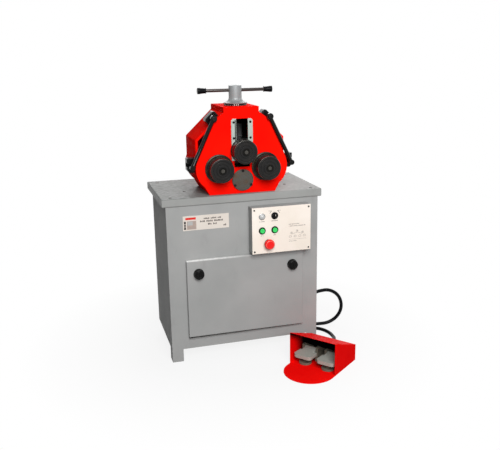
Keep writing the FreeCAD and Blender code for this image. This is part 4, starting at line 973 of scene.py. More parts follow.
class Paints:
    """The finishes that several sub-assemblies share, made once."""

    def __init__(self) -> None:
        """Make every shared material."""
        self.grey = Enamel("grey_enamel", GREY, GREY_CLOUD, 0.34, shine=0.004).make()
        # The table's top is painted darker on the left as shade, fading out to the right.
        self.table = PaintedLightEnamel(
            "table_enamel", linear(161, 162, 160), linear(150, 151, 149), 0.34, shine=0.03,
            peel=0.012, grime_share=0.1, level=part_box("table_top")[1][2], depth=0.004,
            line=linear(122, 124, 122), painted_light_share=0.9, fade=(0.0, 0.1),
        ).make()
        # The pale line along the door's top edge is a painted highlight.
        self.door = PaintedLightEnamel(
            "door_enamel", GREY, GREY_CLOUD, 0.34, shine=0.006, level=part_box("door_panel")[1][2],
            depth=0.006, line=linear(244, 244, 242), painted_light_share=0.85, fade=(-0.12, 0.02),
        ).make()
        # The box inside the head's hollow is painted dark as shade.
        self.red = ShadedHollowEnamel(
            "red_enamel", RED, RED_CLOUD, 0.42, shine=0.001, peel=0.03, grime=RED_GRIME,
            grime_share=0.12, low=tuple(drawn(-75, -172, 690)), high=tuple(drawn(75, 15, 965)),
        ).make()
        # The guard's inside is painted dark as shade towards its back and roof.
        self.guard = ShadedHoodEnamel(
            "guard_enamel", linear(254, 16, 12), linear(240, 8, 8), 0.3, shine=0.002, peel=0.02,
            grime=RED_GRIME, grime_share=0.16, corner=tuple(drawn(134.6, -340.0, 0.0)), turn=-51.3,
        ).make()
        self.cream = Enamel(
            "cream_panel", CREAM, linear(236, 225, 212), 0.34, coat=0.05, shine=0.2, peel=0.02,
            grime=linear(180, 168, 150), grime_share=0.12,
        ).make()
        cast, machined = {"kind": Kind.CAST}, {"kind": Kind.MACHINED, "shine": 0.5, "share": 0.5}
        self.black = Grained(
            "black_enamel", linear(17, 17, 18), linear(52, 50, 48), 0.24, shine=0.14, grain=320,
            depth=0.06, share=0.2, **cast,
        ).make()
        self.arm = Grained(
            "arm_enamel", linear(14, 14, 14), linear(54, 52, 50), 0.15, shine=0.16, grain=260,
            depth=0.02, share=0.15, **cast,
        ).make()
        self.screw = Grained(
            "screw_steel", linear(70, 68, 64), linear(150, 146, 138), 0.35, 0.85, shine=0.3,
            grain=500, depth=0.04, share=0.35, **cast,
        ).make()
        self.dark_screw = Grained(
            "dark_screw_steel", linear(18, 18, 18), linear(44, 42, 40), 0.4, 0.2, shine=0.2,
            grain=500, depth=0.04, share=0.2, **cast,
        ).make()
        self.alloy = Grained(
            "pedal_alloy", linear(166, 167, 159), linear(196, 197, 188), 0.5, shine=0.1,
            grain=240, depth=0.06, share=0.35, **cast,
        ).make()
        self.steel = Grained(
            "plain_steel", linear(150, 148, 144), linear(112, 100, 88), 0.35, 1.0,
            grain=900, stretch=(0.05, 1, 1), **machined,
        ).make()
        self.ground = Grained(
            "ground_steel", linear(170, 180, 173), linear(144, 152, 145), 0.36, 0.35,
            grain=900, stretch=(1, 1, 0.05), **machined,
        ).make()
        self.ink = Grained("printed_ink", linear(70, 64, 62), linear(104, 98, 94), 0.5).make()
        self.pale_ink = Grained(
            "pale_ink", linear(128, 122, 118), linear(160, 154, 148), 0.5
        ).make()
        self.plastic = Grained(
            "black_plastic", linear(14, 14, 15), linear(34, 34, 34), 0.28, shine=0.12
        ).make()
        self.rubber = Grained(
            "black_rubber", linear(8, 9, 12), linear(18, 21, 26), 0.28, shine=0.08, grain=420,
            depth=0.04,
        ).make()


# ---------------------------------------------------------------- dressing


def dress(piece: Piece, material: Material) -> Piece:
    """Give a piece one material.

    Args:
        piece: the object.
        material: its material.

    Returns:
        The same object.
    """
    piece.data.materials.clear()
    piece.data.materials.append(material)
    return piece


def dress_node(node: str, material: Material) -> None:
    """Give a CAD node that stays visible a better material."""
    for place in frame["nodes"][node].material_slots:
        place.material = material


def settle(
    name: str, parts: list[Grid], material: Material, body: str = "stand", node: str = ""
) -> Piece:
    """Make a piece from grids, let it ride, stand it in for a node and dress it.

    Args:
        name: name of the piece.
        parts: points and faces of each grid.
        material: its finish.
        body: the moving body that carries it.
        node: CAD node that it stands in for, or none.

    Returns:
        The piece.
    """
    piece = make_piece(name, parts)
    if node:
        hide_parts(node)
    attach(piece, body)
    return dress(piece, material)


def turn_node(
    node: str, parts: list[Grid], material: Material, body: str = "stand"
) -> Piece:
    """Make a piece that stands in for a CAD node and takes its name.

    Args:
        node: name of the CAD node.
        parts: points and faces of each grid.
        material: its finish.
        body: the moving body that carries it.

    Returns:
        The piece.
    """
    return settle(f"{node}_turned", parts, material, body, node)


def soften(
    node: str,
    width: float,
    material: Material,
    body: str = "stand",
    segments: int = 2,
    inner: float | None = None,
) -> Piece:
    """Stand a copy of a CAD node with rounded edges in for it, and dress it.

    The copy's doubled points are merged and its flat fields joined. Each edge that turns by more
    than forty degrees, and is longer than the rounding, gets a bevel. Of a folded sheet only the
    edges on two faces of its bounding box get the full rounding.

    Args:
        node: name of the CAD node.
        width: size of the rounding in millimetres.
        material: finish of the piece.
        body: moving body that the piece rides on.
        segments: steps across the rounding.
        inner: rounding of a folded sheet's other edges, or none where all are alike.

    Returns:
        The new piece.
    """
    mesh = frame["nodes"][node].data.copy()
    shape = bmesh.new()
    shape.from_mesh(mesh)
    bmesh.ops.remove_doubles(shape, verts=shape.verts, dist=MERGE)
    bmesh.ops.dissolve_limit(
        shape, angle_limit=math.radians(0.5), verts=shape.verts, edges=shape.edges,
        use_dissolve_boundaries=False,
    )
    weight = shape.edges.layers.float.new("bevel_weight_edge")
    sites = np.array([vertex.co[:] for vertex in shape.verts])
    box = (sites.min(0), sites.max(0))
    for edge in shape.edges:
        if len(edge.link_faces) != 2 or edge.calc_face_angle() < math.radians(40):
            continue
        ends = np.array([vertex.co[:] for vertex in edge.verts])
        on_low, on_high = (np.isclose(ends, corner, atol=MM / 100) for corner in box)
        on_box = np.all(on_low | on_high, axis=0).sum()
        share = 1.0 if inner is None or on_box >= 2 else inner / width
        edge[weight] = share if edge.calc_length() > 1.3 * share * width * MM else 0.0
    shape.to_mesh(mesh)
    shape.free()
    piece = link_smooth(f"{node}_rounded", mesh)
    bevel = piece.modifiers.new("edge", "BEVEL")
    bevel.width = width * MM
    bevel.segments = segments
    bevel.limit_method = "WEIGHT"
    bevel.use_clamp_overlap = False
    bevel.harden_normals = True
    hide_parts(node)
    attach(piece, body)
    return dress(piece, material)


def islands(node: str) -> list[tuple[np.ndarray, np.ndarray]]:
    """Lowest and highest corner of each separate solid of a node, from left to right.

    Args:
        node: name of the CAD node.

    Returns:
        Pairs of corners in metres.
    """
    shape = bmesh.new()
    shape.from_mesh(frame["nodes"][node].data)
    bmesh.ops.remove_doubles(shape, verts=shape.verts, dist=MERGE)
    left = set(shape.verts)
    boxes = []
    while left:
        group = [left.pop()]
        for vertex in group:
            for edge in vertex.link_edges:
                other = edge.other_vert(vertex)
                if other in left:
                    left.discard(other)
                    group.append(other)
        sites = np.array([vertex.co[:] for vertex in group])
        boxes.append((sites.min(0), sites.max(0)))
    shape.free()
    return sorted(boxes, key=lambda pair: tuple(pair[0]))


def turn_screws(node: str, material: Material, slot: str, *screw: Axis | float) -> None:
    """Replace a node's screws, which all point one way, with socket screws of the same size.

    Args:
        node: the CAD node.
        material: finish.
        slot: not used.
        screw: what cap_screw is told after the box.
    """
    parts = [part for box in islands(node) for part in cap_screw(box, *screw)]
    turn_node(node, parts, material)


# ---------------------------------------------------------------- sub-assemblies


@dataclass(frozen=True)
class Places:
    """Millimetres of the drawing that several sub-assemblies share."""

    face: float = -241.0
    door: float = -207.0
    case: float = -178.0
    roll_front: float = -238.0
    roll_out: float = 91.5
    roll_up: float = 764.0
    top_roll_up: float = 829.5
    drive_up: float = 715.63
    screw_axis: float = -92.0
    hub_low: float = 1001.3
    bar_up: float = 1051.0


AT = Places()
SIDES = {"left": -1, "right": 1}

CABLE_ROUTE: tuple[Point, ...] = (
    (323.0, -50.0, 168.0), (348.0, -50.0, 168.0), (375.0, -50.0, 174.0), (417.0, -50.0, 175.5),
    (456.5, -48.0, 153.0), (480.5, -44.0, 116.0), (485.5, -39.0, 71.5), (466.0, -33.0, 31.5),
    (427.0, -27.0, 7.7), (379.0, -25.0, 7.7), (335.0, -13.0, 7.7), (303.0, 18.0, 7.7),
    (291.0, 62.0, 7.7), (259.0, 94.0, 7.7), (215.0, 106.0, 7.7), (171.0, 94.0, 7.7),
    (139.0, 62.0, 7.7), (127.0, 18.0, 7.7), (139.0, -26.0, 7.7), (171.0, -58.0, 7.7),
    (216.0, -70.0, 7.7), (271.0, -66.0, 9.5), (325.0, -67.0, 14.0), (365.0, -89.0, 13.0),
    (389.0, -127.0, 9.5), (390.5, -172.0, 7.7), (380.0, -212.0, 15.0),
    (350.053, -244.271, 25.0), (318.8355, -269.2802, 25.0),
)


@dataclass
class SubAssembly:
    """A part of the machine that is built and dressed in one go."""

    paints: Paints

    def build(self) -> None:
        """Make its pieces."""
        raise NotImplementedError


@dataclass
class FootCable(SubAssembly):
    """Black rubber cable from the cabinet to the foot switch, with its two glands."""

    diameter: float = 0.015
    length: float = 1.2216
    glands: tuple[tuple[Point, Point], ...] = (
        ((305.0, -50.0, 168.0), (1.0, 0.0, 0.0)),
        ((304.7877, -280.5346, 25.0), (0.78043, 0.62524, 0.0)),
    )

    def build(self) -> None:
        """Make the cable and the glands."""
        curve = bpy.data.curves.new("foot_cable_flex", "CURVE")
        curve.dimensions = "3D"
        line = curve.splines.new("NURBS")
        line.points.add(len(CABLE_ROUTE) - 1)
        for knot, place in zip(line.points, CABLE_ROUTE):
            knot.co = (*drawn(*place), 1.0)
        line.order_u = 3
        line.use_endpoint_u = True
        line.resolution_u = 12
        curve.bevel_depth = self.diameter / 2
        curve.bevel_resolution = 6
        curve.use_fill_caps = True
        cable = link("foot_cable_flex", curve)
        dress(cable, self.paints.rubber)
        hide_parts("foot_cable")
        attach(cable, "stand")
        self.make_glands()

    def make_glands(self) -> None:
        """Both glands: a flange, a domed cap with ribs and a tapered sleeve."""
        back = [(0, -4.0, 0), (7.2, -4.0, 0.4), (7.2, 0.0, 0), (12.0, 0.0, 0.3)]
        ribs = [(12.0, 1.2, 0.4), (12.0, 4.6, 0.5), (11.2, 5.2, 0.2), (11.2, 6.0, 0.2)]
        cap = [(11.8, 6.4, 0.4), (11.8, 10.4, 1.0), (10.6, 11.6, 0.6), (9.4, 13.6, 0.5)]
        end = [(8.6, 18.0, 0.6), (7.6, 18.0, 0), (0, 18.0, 0)]
        profile = rounded_profile([*back, *ribs, *cap, *end])
        parts = [lathe(profile, drawn(*base), np.array(way), 48) for base, way in self.glands]
        turn_node("cable_gland", parts, self.paints.plastic)


@dataclass
class Table(SubAssembly):
    """Folded tray with its screws."""

    def build(self) -> None:
        """Round the tray's bends and set its screws."""
        soften("table_top", 4.5, self.paints.table, segments=4, inner=0.8)
        turn_screws("table_screws", self.paints.screw, "zinc_steel", Axis.UP, 1.6, 0.45, 0.5)


@dataclass
class Cabinet(SubAssembly):
    """Sheet-metal cabinet, its rear cover, its door and two knobs."""

    knob_out: float = 191.0
    knob_up: float = 365.0

    def build(self) -> None:
        """Round the sheets' edges and turn the knobs."""
        soften("cabinet_body", 2.2, self.paints.grey, segments=3, inner=0.6)
        soften("back_panel", 0.7, self.paints.grey)
        soften("door_panel", 4.0, self.paints.door, "door", 4, inner=0.6)
        for side, sign in SIDES.items():
            self.knob(side, sign * self.knob_out)

    def knob(self, side: str, x: float) -> None:
        """One quarter-turn knob: stepped rings round a slotted barrel, its shaft and its tongue.

        Args:
            side: left or right.
            x: its axis on the drawing.
        """
        face, up = AT.door, self.knob_up
        profile = [
            (0, -20, 0), (5, -20, 0.4), (5, 0.3, 0), (20.6, 0.3, 0.6), (21, 3.4, 1.0),
            (19.4, 4.4, 0.4), (18.6, 13.8, 0.8), (19.2, 15.0, 0.4), (19.0, 18.6, 1.4),
            (16.4, 20.0, 0.6), (15.2, 19.2, 0.3), (13.6, 19.2, 0.3), (12.6, 21.2, 0.5),
            (8.0, 21.2, 0.5), (7.2, 19.4, 0.3), (0, 19.4, 0),
        ]
        rings = front_disc(profile, x, up, face, 96)
        bar = block_grid((x - 1.6, face - 22, up - 7), (x + 1.6, face - 19, up + 7))
        tongue = block_grid((x - 6, -189.2, up - 42), (x + 6, -186.7, up + 5))
        finish = Turned(
            f"knob_finish_{side}", linear(14, 14, 14), linear(34, 32, 31), 0.22, shine=0.1,
            centre=drawn(x, face, up), pitch=1.6, depth=0.02, share=0.3,
        ).make()
        parts = [rings, bar, tongue]
        turn_node(f"door_knob_{side}", parts, finish, f"{side}_knob")


@dataclass
class Nameplate(SubAssembly):
    """Pinkish cream plate with generic fields only: shares of its width and height."""

    fields: tuple[tuple[float, float, float, float, str], ...] = (
        (0.055, 0.74, 0.225, 0.15, "red"),
        (0.085, 0.07, 0.200, 0.58, "brown"),
        (0.100, 0.36, 0.110, 0.25, "grey"),
        (0.022, 0.08, 0.042, 0.18, "dark"),
        (0.022, 0.29, 0.042, 0.14, "dark"),
        (0.022, 0.46, 0.042, 0.18, "dark"),
    )
    lines: tuple[tuple[float, float, float, float], ...] = (
        (0.45, 0.71, 0.39, 0.100),
        (0.37, 0.52, 0.55, 0.110),
        (0.54, 0.31, 0.22, 0.110),
        (0.88, 0.16, 0.07, 0.120),
    )

    def build(self) -> None:
        """Lay the printed fields and lines of strokes on the plate."""
        plate = Enamel(
            "name_plate_enamel", linear(222, 214, 205), linear(214, 204, 194), 0.34, coat=0.15,
            shine=0.4, peel=0.02, grime=linear(170, 150, 140), grime_share=0.14,
        ).make()
        soften("nameplate", 0.3, plate)
        finishes = {
            "dark": self.paints.ink,
            "red": Grained("plate_red_ink", linear(214, 44, 36), linear(226, 90, 78), 0.45).make(),
            "grey": Grained(
                "plate_grey_ink", linear(176, 176, 174), linear(196, 196, 192), 0.45
            ).make(),
            "brown": Grained(
                "plate_brown_ink", linear(168, 152, 144), linear(196, 168, 150), 0.45,
                grain=240, share=0.7,
            ).make(),
        }
        prints = {ink: [] for ink in finishes}
        for *field, ink in self.fields:
            prints[ink].append(flat_patch(*self.placed(*field), 0.18 if ink == "grey" else PRINT))
        for turn, line in enumerate(self.lines):
            prints["dark"] += stroke_line(*self.placed(*line), turn)
        for ink, parts in prints.items():
            settle(f"nameplate_print_{ink}", parts, finishes[ink])

    @staticmethod
    def placed(x: float, z: float, across: float, up: float) -> tuple[float, ...]:
        """Turn shares of the plate into the drawing.

        Args:
            x: left edge.
            z: lower edge.
            across: width.
            up: height.

        Returns:
            Left and lower edge, width, height and the plate's front, in millimetres.
        """
        low, high = span("nameplate")
        wide, _, tall = high - low
        return low[0] + x * wide, low[2] + z * tall, across * wide, up * tall, low[1]


@dataclass
class ControlPanel(SubAssembly):
    """Control box, its cream panel and the six devices on it."""

    lamp: tuple[float, float] = (57.0, 579.0)
    selector: tuple[float, float] = (108.0, 579.0)
    forward: tuple[float, float] = (57.0, 523.0)
    reverse: tuple[float, float] = (108.0, 523.0)
    stop: tuple[float, float] = (82.0, 470.0)

    def build(self) -> None:
        """Round the box and dress each device."""
        soften("control_box", 1.6, self.paints.grey, segments=3, inner=0.5)
        soften("control_faceplate", 0.8, self.paints.cream)
        turn_screws("panel_screws", self.paints.screw, "zinc_steel", Axis.TO_FRONT, 1.6, 0.48, 0.55)
        self.bezels()
        self.pilot()
        self.handle()
        self.buttons()
        self.mushroom()
        self.marks()
        self.figure()

    def bezels(self) -> None:
        """Dark collars of the three small devices and of the stop button."""
        small = [
            (9.5, -16, 0), (11, -16, 0.3), (11, 0, 0), (14.2, 0, 0.2), (14.2, 1.4, 0.5),
            (13.2, 3.0, 0.6), (11.2, 3.0, 0.4), (10.2, 2.2, 0.2), (9.5, 2.2, 0), (9.5, -16, 0),
        ]
        big = [
            (8.1, -16, 0), (11, -16, 0.3), (11, 0, 0), (17, 0, 0.3), (17, 2.6, 0.7),
            (15.4, 6.0, 0.8), (8.1, 6.0, 0), (8.1, -16, 0),
        ]
        places = (self.selector, self.forward, self.reverse)
        parts = [front_disc(small, *at, AT.face) for at in places]
        parts.append(front_disc(big, *self.stop, AT.face))
        turn_node("control_bezels", parts, self.paints.plastic)

    def pilot(self) -> None:
        """Clear lens with rings in a bright collar.

        The lens's radius at height h is that of an ellipse, with a fine wave added.
        """
        centre = drawn(self.lamp[0], AT.face, self.lamp[1])
        shell = [
            (0, -18, 0), (11, -18, 0.3), (11, 0, 0), (13, 0, 0.3), (13, 2.4, 0.6),
            (10.6, 3.2, 0.4), (0, 3.2, 0),
        ]
        collar = Turned(
            "lamp_collar", linear(150, 150, 148), linear(96, 93, 90), 0.3, 0.9, shine=0.5,
            centre=centre, pitch=0.7, depth=0.02,
        ).make()
        ring = front_disc(shell, *self.lamp, AT.face)
        settle("pilot_lamp_collar", [ring], collar)
        height = np.linspace(0, 1, 22)
        radius = 10.4 * np.sqrt(np.clip(1 - height**2, 0, 1)) + 0.16 * np.sin(height * 40)
        dome = np.stack([np.clip(radius, 0, None), 3.0 + 6.0 * height], axis=1)
        dome[-1, 0] = 0.0
        lens = lathe(np.concatenate([[(0, 3.0)], dome]), centre, Axis.TO_FRONT.way)
        glass = Grained(
            "lamp_lens_finish", linear(186, 187, 186), linear(226, 226, 224), 0.12, coat=0.9,
            depth=0.01, grain=900,
        ).make()
        settle("pilot_lamp_lens", [lens], glass, node="pilot_lamp")

    def handle(self) -> None:
        """Selector: a disc with a tapered handle and a white pointer line.

        The handle's half width at share s of its length is 3 - 0.9 s squared, drawn in upwards.
        """
        x, z = self.selector
        low = [(0, -13, 0), (9.4, -13, 0.3), (9.4, 4.6, 0.5), (8.4, 5.0, 0.2), (0, 5.0, 0)]
        share = np.linspace(-1, 1, 15)
        half = 3.0 - 0.9 * share**2
        outline = np.concatenate([[-half, share * 8.9], [half[::-1], share[::-1] * 8.9]], axis=1)
        rings = []
        for lift, scale in ((4.9, 1.0), (11.6, 0.94), (12.8, 0.78)):
            across, along = outline * scale
            rings.append(np.stack([x + across, np.full(30, AT.face - lift), z + along], axis=1))
        parts = [front_disc(low, x, z, AT.face), capped(rings)]
        turn_node("selector_knob", parts, self.paints.plastic, "selector")
        line = flat_patch(x - 0.6, z + 1.5, 1.2, 6.0, AT.face - 12.8, 0.15)
        settle("selector_pointer", [line], self.paints.cream, "selector")

    def buttons(self) -> None:
        """Two green push buttons with a shallow dish."""
        dish = [
            (0, -10, 0), (9.4, -10, 0.3), (9.4, 6.4, 0.8), (8.3, 7.5, 0.6), (7.0, 7.2, 0.4),
            (0, 6.7, 0),
        ]
        green = Grained(
            "green_button", linear(60, 212, 104), linear(110, 228, 146), 0.26, coat=0.15, shine=0.2,
            depth=0.01, grain=900, share=0.2,
        ).make()
        for name, at in (("forward", self.forward), ("reverse", self.reverse)):
            cap = front_disc(dish, *at, AT.face)
            turn_node(f"{name}_button", [cap], green, name)

    def mushroom(self) -> None:
        """Red mushroom stop button with a ribbed rim and a pale ring of painted highlight."""
        head = [
            (0, -12, 0), (8, -12, 0.3), (8, 11.3, 0), (19.2, 11.3, 0.6), (20, 13.0, 0.8),
            (20, 18.4, 1.6), (18.2, 22.6, 2.0), (13.6, 24.6, 1.2), (12.6, 24.2, 0.3),
            (11.4, 24.4, 0.3), (0, 25.3, 0),
        ]
        ring = [
            (14.6, 24.0, 0), (16.6, 23.2, 0.2), (16.6, 23.9, 0.2), (14.6, 24.7, 0.2),
            (14.6, 24.0, 0),
        ]
        red = Grained(
            "stop_red", linear(240, 22, 22), linear(250, 50, 44), 0.28, coat=0.15, shine=0.2,
            depth=0.01, grain=900, share=0.2,
        ).make()
        # The pale ring on the stop button is a painted highlight.
        pale = Grained(
            "stop_painted_highlight", linear(250, 96, 86), linear(252, 130, 116), 0.3, coat=0.2, depth=0.01,
            grain=900,
        ).make()
        cap = front_disc(head, *self.stop, AT.face, 96)
        turn_node("emergency_head", [cap], red, "emergency")
        band = front_disc(ring, *self.stop, AT.face)
        settle("emergency_head_ring", [band], pale, "emergency")

    def marks(self) -> None:
        """Generic marks: small lines of strokes, and arcs round the selector."""
        x, z = self.selector
        marks = []
        for at, wide, drop in (
            (self.lamp, 21, 21.0), (self.selector, 29, 21.0),
            (self.forward, 11, 21.5), (self.reverse, 11, 21.5),
        ):
            marks += stroke_line(at[0] - wide / 2, at[1] - drop, wide, 2.6, AT.face, int(at[0]))
        for start, end in ((-62, -28), (28, 62)):
            marks.append(flat_arc(x, z, 22.5, 1.5, start, end, AT.face, 16))
        for turn in (-45, 45):
            across, up = 27 * math.sin(math.radians(turn)), 27 * math.cos(math.radians(turn))
            marks += stroke_line(x + across - 5, z + up, 10, 2.4, AT.face, turn)
        settle("panel_marks", marks, self.paints.ink)

    def figure(self) -> None:
        """A figure of plain rings, arcs and lines of strokes."""
        place = AT.face
        parts = stroke_line(166, 538, 46, 3.0, place, 1)
        parts += stroke_line(166, 530.5, 72, 3.0, place, 4)
        for x, z in ((200, 511), (177, 504), (223, 504)):
            parts.append(flat_arc(x, z, 3.6, 1.2, 0, 360, place))
            parts.append(flat_patch(x - 1.2, z - 1.2, 2.4, 2.4, place))
        for x in (172, 192, 211, 230):
            parts.append(flat_arc(x, 489, 5.0, 0.9, -100, 100, place))
            parts.append(flat_patch(x - 5.2, 486.4, 10.4, 0.9, place))
        parts += stroke_line(166, 470, 34, 2.2, place, 2)
        parts.append(flat_patch(166, 478, 72, 0.6, place))
        parts.append(flat_arc(200, 470, 34, 0.8, -40, 40, place, 32))
        settle("panel_figure", parts, self.paints.pale_ink)


@dataclass
class Head(SubAssembly):
    """Red casing with its strips, flanges and round cover."""

    def build(self) -> None:
        """Round the casing's edges and dress what is screwed to its front."""
        soften("head_front_plate", 1.4, self.paints.red, segments=3)
        soften("head_housing", 2.0, self.paints.red, segments=3)
        for side in SIDES:
            soften(f"gib_{side}", 0.5, self.paints.ground)
        # A dark strip on the left strip's inner edge is painted shadow.
        low, high = span("gib_left")
        line = flat_patch(high[0] - 5.4, low[2] + 4, 3.6, high[2] - low[2] - 8, low[1], 0.15)
        settle("gib_left_edge_line", [line], self.paints.dark_screw)
        self.screws()
        for side, sign in SIDES.items():
            self.flange(side, sign * AT.roll_out)
        self.cover()

    def screws(self) -> None:
        """Socket screws of the strips, of the round cover and of the back."""
        parts = []
        for low, high in islands("head_screws"):
            axis = Axis.TO_FRONT if low[1] + high[1] < 2 * TABLE[1] else Axis.TO_BACK
            lift = min(5.0, (high[1] - low[1]) / MM * 0.4)
            parts += cap_screw((low, high), axis, lift, 0.5, 0.55)
        turn_node("head_screws", parts, self.paints.dark_screw)

    def flange(self, side: str, x: float) -> None:
        """Bearing flange with a step, a seal groove and a brownish rubbed rim.

        Args:
            side: left or right.
            x: its axis on the drawing.
        """
        profile = [
            (15.1, -28, 0), (40, -28, 0.6), (40, 0, 0), (55, 0, 0.5), (55, 5.6, 1.4),
            (50.5, 7.0, 0.6), (49.0, 6.4, 0.3), (22, 6.4, 0.3), (21, 7.0, 0.3), (15.1, 7.0, 0),
            (15.1, -28, 0),
        ]
        finish = Turned(
            f"flange_finish_{side}", linear(34, 32, 30), linear(92, 72, 50), 0.32, 0.6, shine=0.3,
            centre=drawn(x, AT.case, AT.roll_up), pitch=1.0, depth=0.04, share=0.5,
        ).make()
        disc = front_disc(profile, x, AT.roll_up, AT.case, 112)
        turn_node(f"{side}_bearing_flange", [disc], finish)

    def cover(self) -> None:
        """Round cover between the lower rolls."""
        lid = [
            (0, -5, 0), (26, -5, 0.5), (26, 0, 0), (42, 0, 0.4), (42, 4.8, 1.2), (40.6, 6.0, 0.4),
            (0, 6.0, 0),
        ]
        spigot = [(12.6, -22, 0), (26, -22, 0.5), (26, -5, 0), (12.6, -5, 0), (12.6, -22, 0)]
        finish = Turned(
            "cover_finish", linear(78, 76, 71), linear(84, 58, 36), 0.36, 0.35, shine=0.3,
            centre=drawn(0, AT.case, AT.drive_up), pitch=1.4, depth=0.03, share=0.7,
        ).make()
        parts = [front_disc(part, 0, AT.drive_up, AT.case, 96) for part in (lid, spigot)]
        turn_node("drive_cover", parts, finish)


@dataclass
class Rolls(SubAssembly):
    """Carriage, three rolls on their shafts."""

    def build(self) -> None:
        """Dress the carriage and turn the rolls."""
        soften("carriage", 0.8, self.paints.black, "slide_block")
        self.roll("top", 0.0, AT.top_roll_up, -190.65, "upper")
        self.roll("left", -AT.roll_out, AT.roll_up, -185.3, "left_lower")
        self.roll("right", AT.roll_out, AT.roll_up, -185.3, "right_lower")

    def roll(self, name: str, x: float, z: float, rear: float, body: str) -> None:
        """A roll with two worn lands, recessed face rings and its end screw.

        Args:
            name: top, left or right.
            x: axis in millimetres on the drawing.
            z: axis above the floor.
            rear: Y of the roll's rear face.
            body: moving body.
        """
        back = AT.roll_front - rear
        centre = drawn(x, AT.roll_front, z)
        face = [
            (15.1, back, 0), (43, back, 0), (45, back + 2, 0.5), (45, back + 6, 0.5),
            (43, back + 6.4, 0.2), (43, back + 8, 0.4), (45, back + 8.4, 0.5), (45, -8.4, 0.5),
            (43, -8, 0.4), (43, -6.4, 0.2), (45, -6, 0.5), (45, -3.4, 0.8), (42.2, 0, 0.6),
            (37.6, 0, 0.4), (36.2, -1.8, 0.3), (34.4, -1.8, 0.3), (33.4, -0.4, 0.3),
            (25.6, -0.4, 0.3), (24.6, -1.8, 0.3), (22.8, -1.8, 0.3), (21.8, 0, 0.4), (15.1, 0, 0),
            (15.1, back, 0),
        ]
        steel = Turned(
            f"{name}_roll_finish", linear(34, 34, 34), linear(62, 57, 50), 0.26, 0.05, shine=0.1,
            centre=centre, pitch=1.5, share=0.2,
        ).make()
        disc = front_disc(face, x, z, AT.roll_front, 128)
        turn_node(f"{name}_roll", [disc], steel, body)
        rim = Turned(
            f"{name}_rim_finish", linear(84, 80, 74), linear(50, 46, 40), 0.22, 0.3, shine=0.4,
            centre=centre, pitch=0.8, depth=0.03,
        ).make()
        bands = []
        for place in (-4.0, back + 4.0):
            rear_edge, front_edge = (44.5, place - 1.5, 0), (44.5, place + 1.5, 0)
            top = [(45.06, place - 1.4, 0.2), (45.06, place + 1.4, 0.2)]
            band = [rear_edge, *top, front_edge, rear_edge]
            bands.append(front_disc(band, x, z, AT.roll_front, 128, 2))
        settle(f"{name}_roll_lands", bands, rim, body)
        self.shaft(name, x, z, body)

    def shaft(self, name: str, x: float, z: float, body: str) -> None:
        """The roll's shaft: a chamfered end with a washer and a hexagon screw.

        Args:
            name: top, left or right.
            x: axis in millimetres on the drawing.
            z: axis above the floor.
            body: moving body.
        """
        rear = AT.roll_front - span(f"{name}_shaft")[1][1]
        journal = [
            (0, rear, 0), (15, rear, 1.0), (15, -1.2, 0.4), (13.8, 0.3, 0.4), (11.4, 0.3, 0.4),
            (10.2, -1.6, 0.3), (0, -1.6, 0),
        ]
        finish = Turned(
            f"{name}_shaft_finish", linear(22, 22, 21), linear(52, 47, 40), 0.3, 0.05, shine=0.08,
            centre=drawn(x, AT.roll_front, z), pitch=0.7, depth=0.03, share=0.3,
        ).make()
        disc = front_disc(journal, x, z, AT.roll_front, 64)
        turn_node(f"{name}_shaft", [disc], finish, body)
        angle = np.arange(6) * np.pi / 3 + 0.35
        rings = []
        for reach, lift in ((7.8, -1.7), (7.8, 2.3), (7.0, 2.95)):
            across, up = reach * np.cos(angle), reach * np.sin(angle)
            depth = np.full(6, AT.roll_front - lift)
            rings.append(np.stack([x + across, depth, z + up], axis=1))
        settle(f"{name}_shaft_screw", [capped(rings)], self.paints.screw, body)


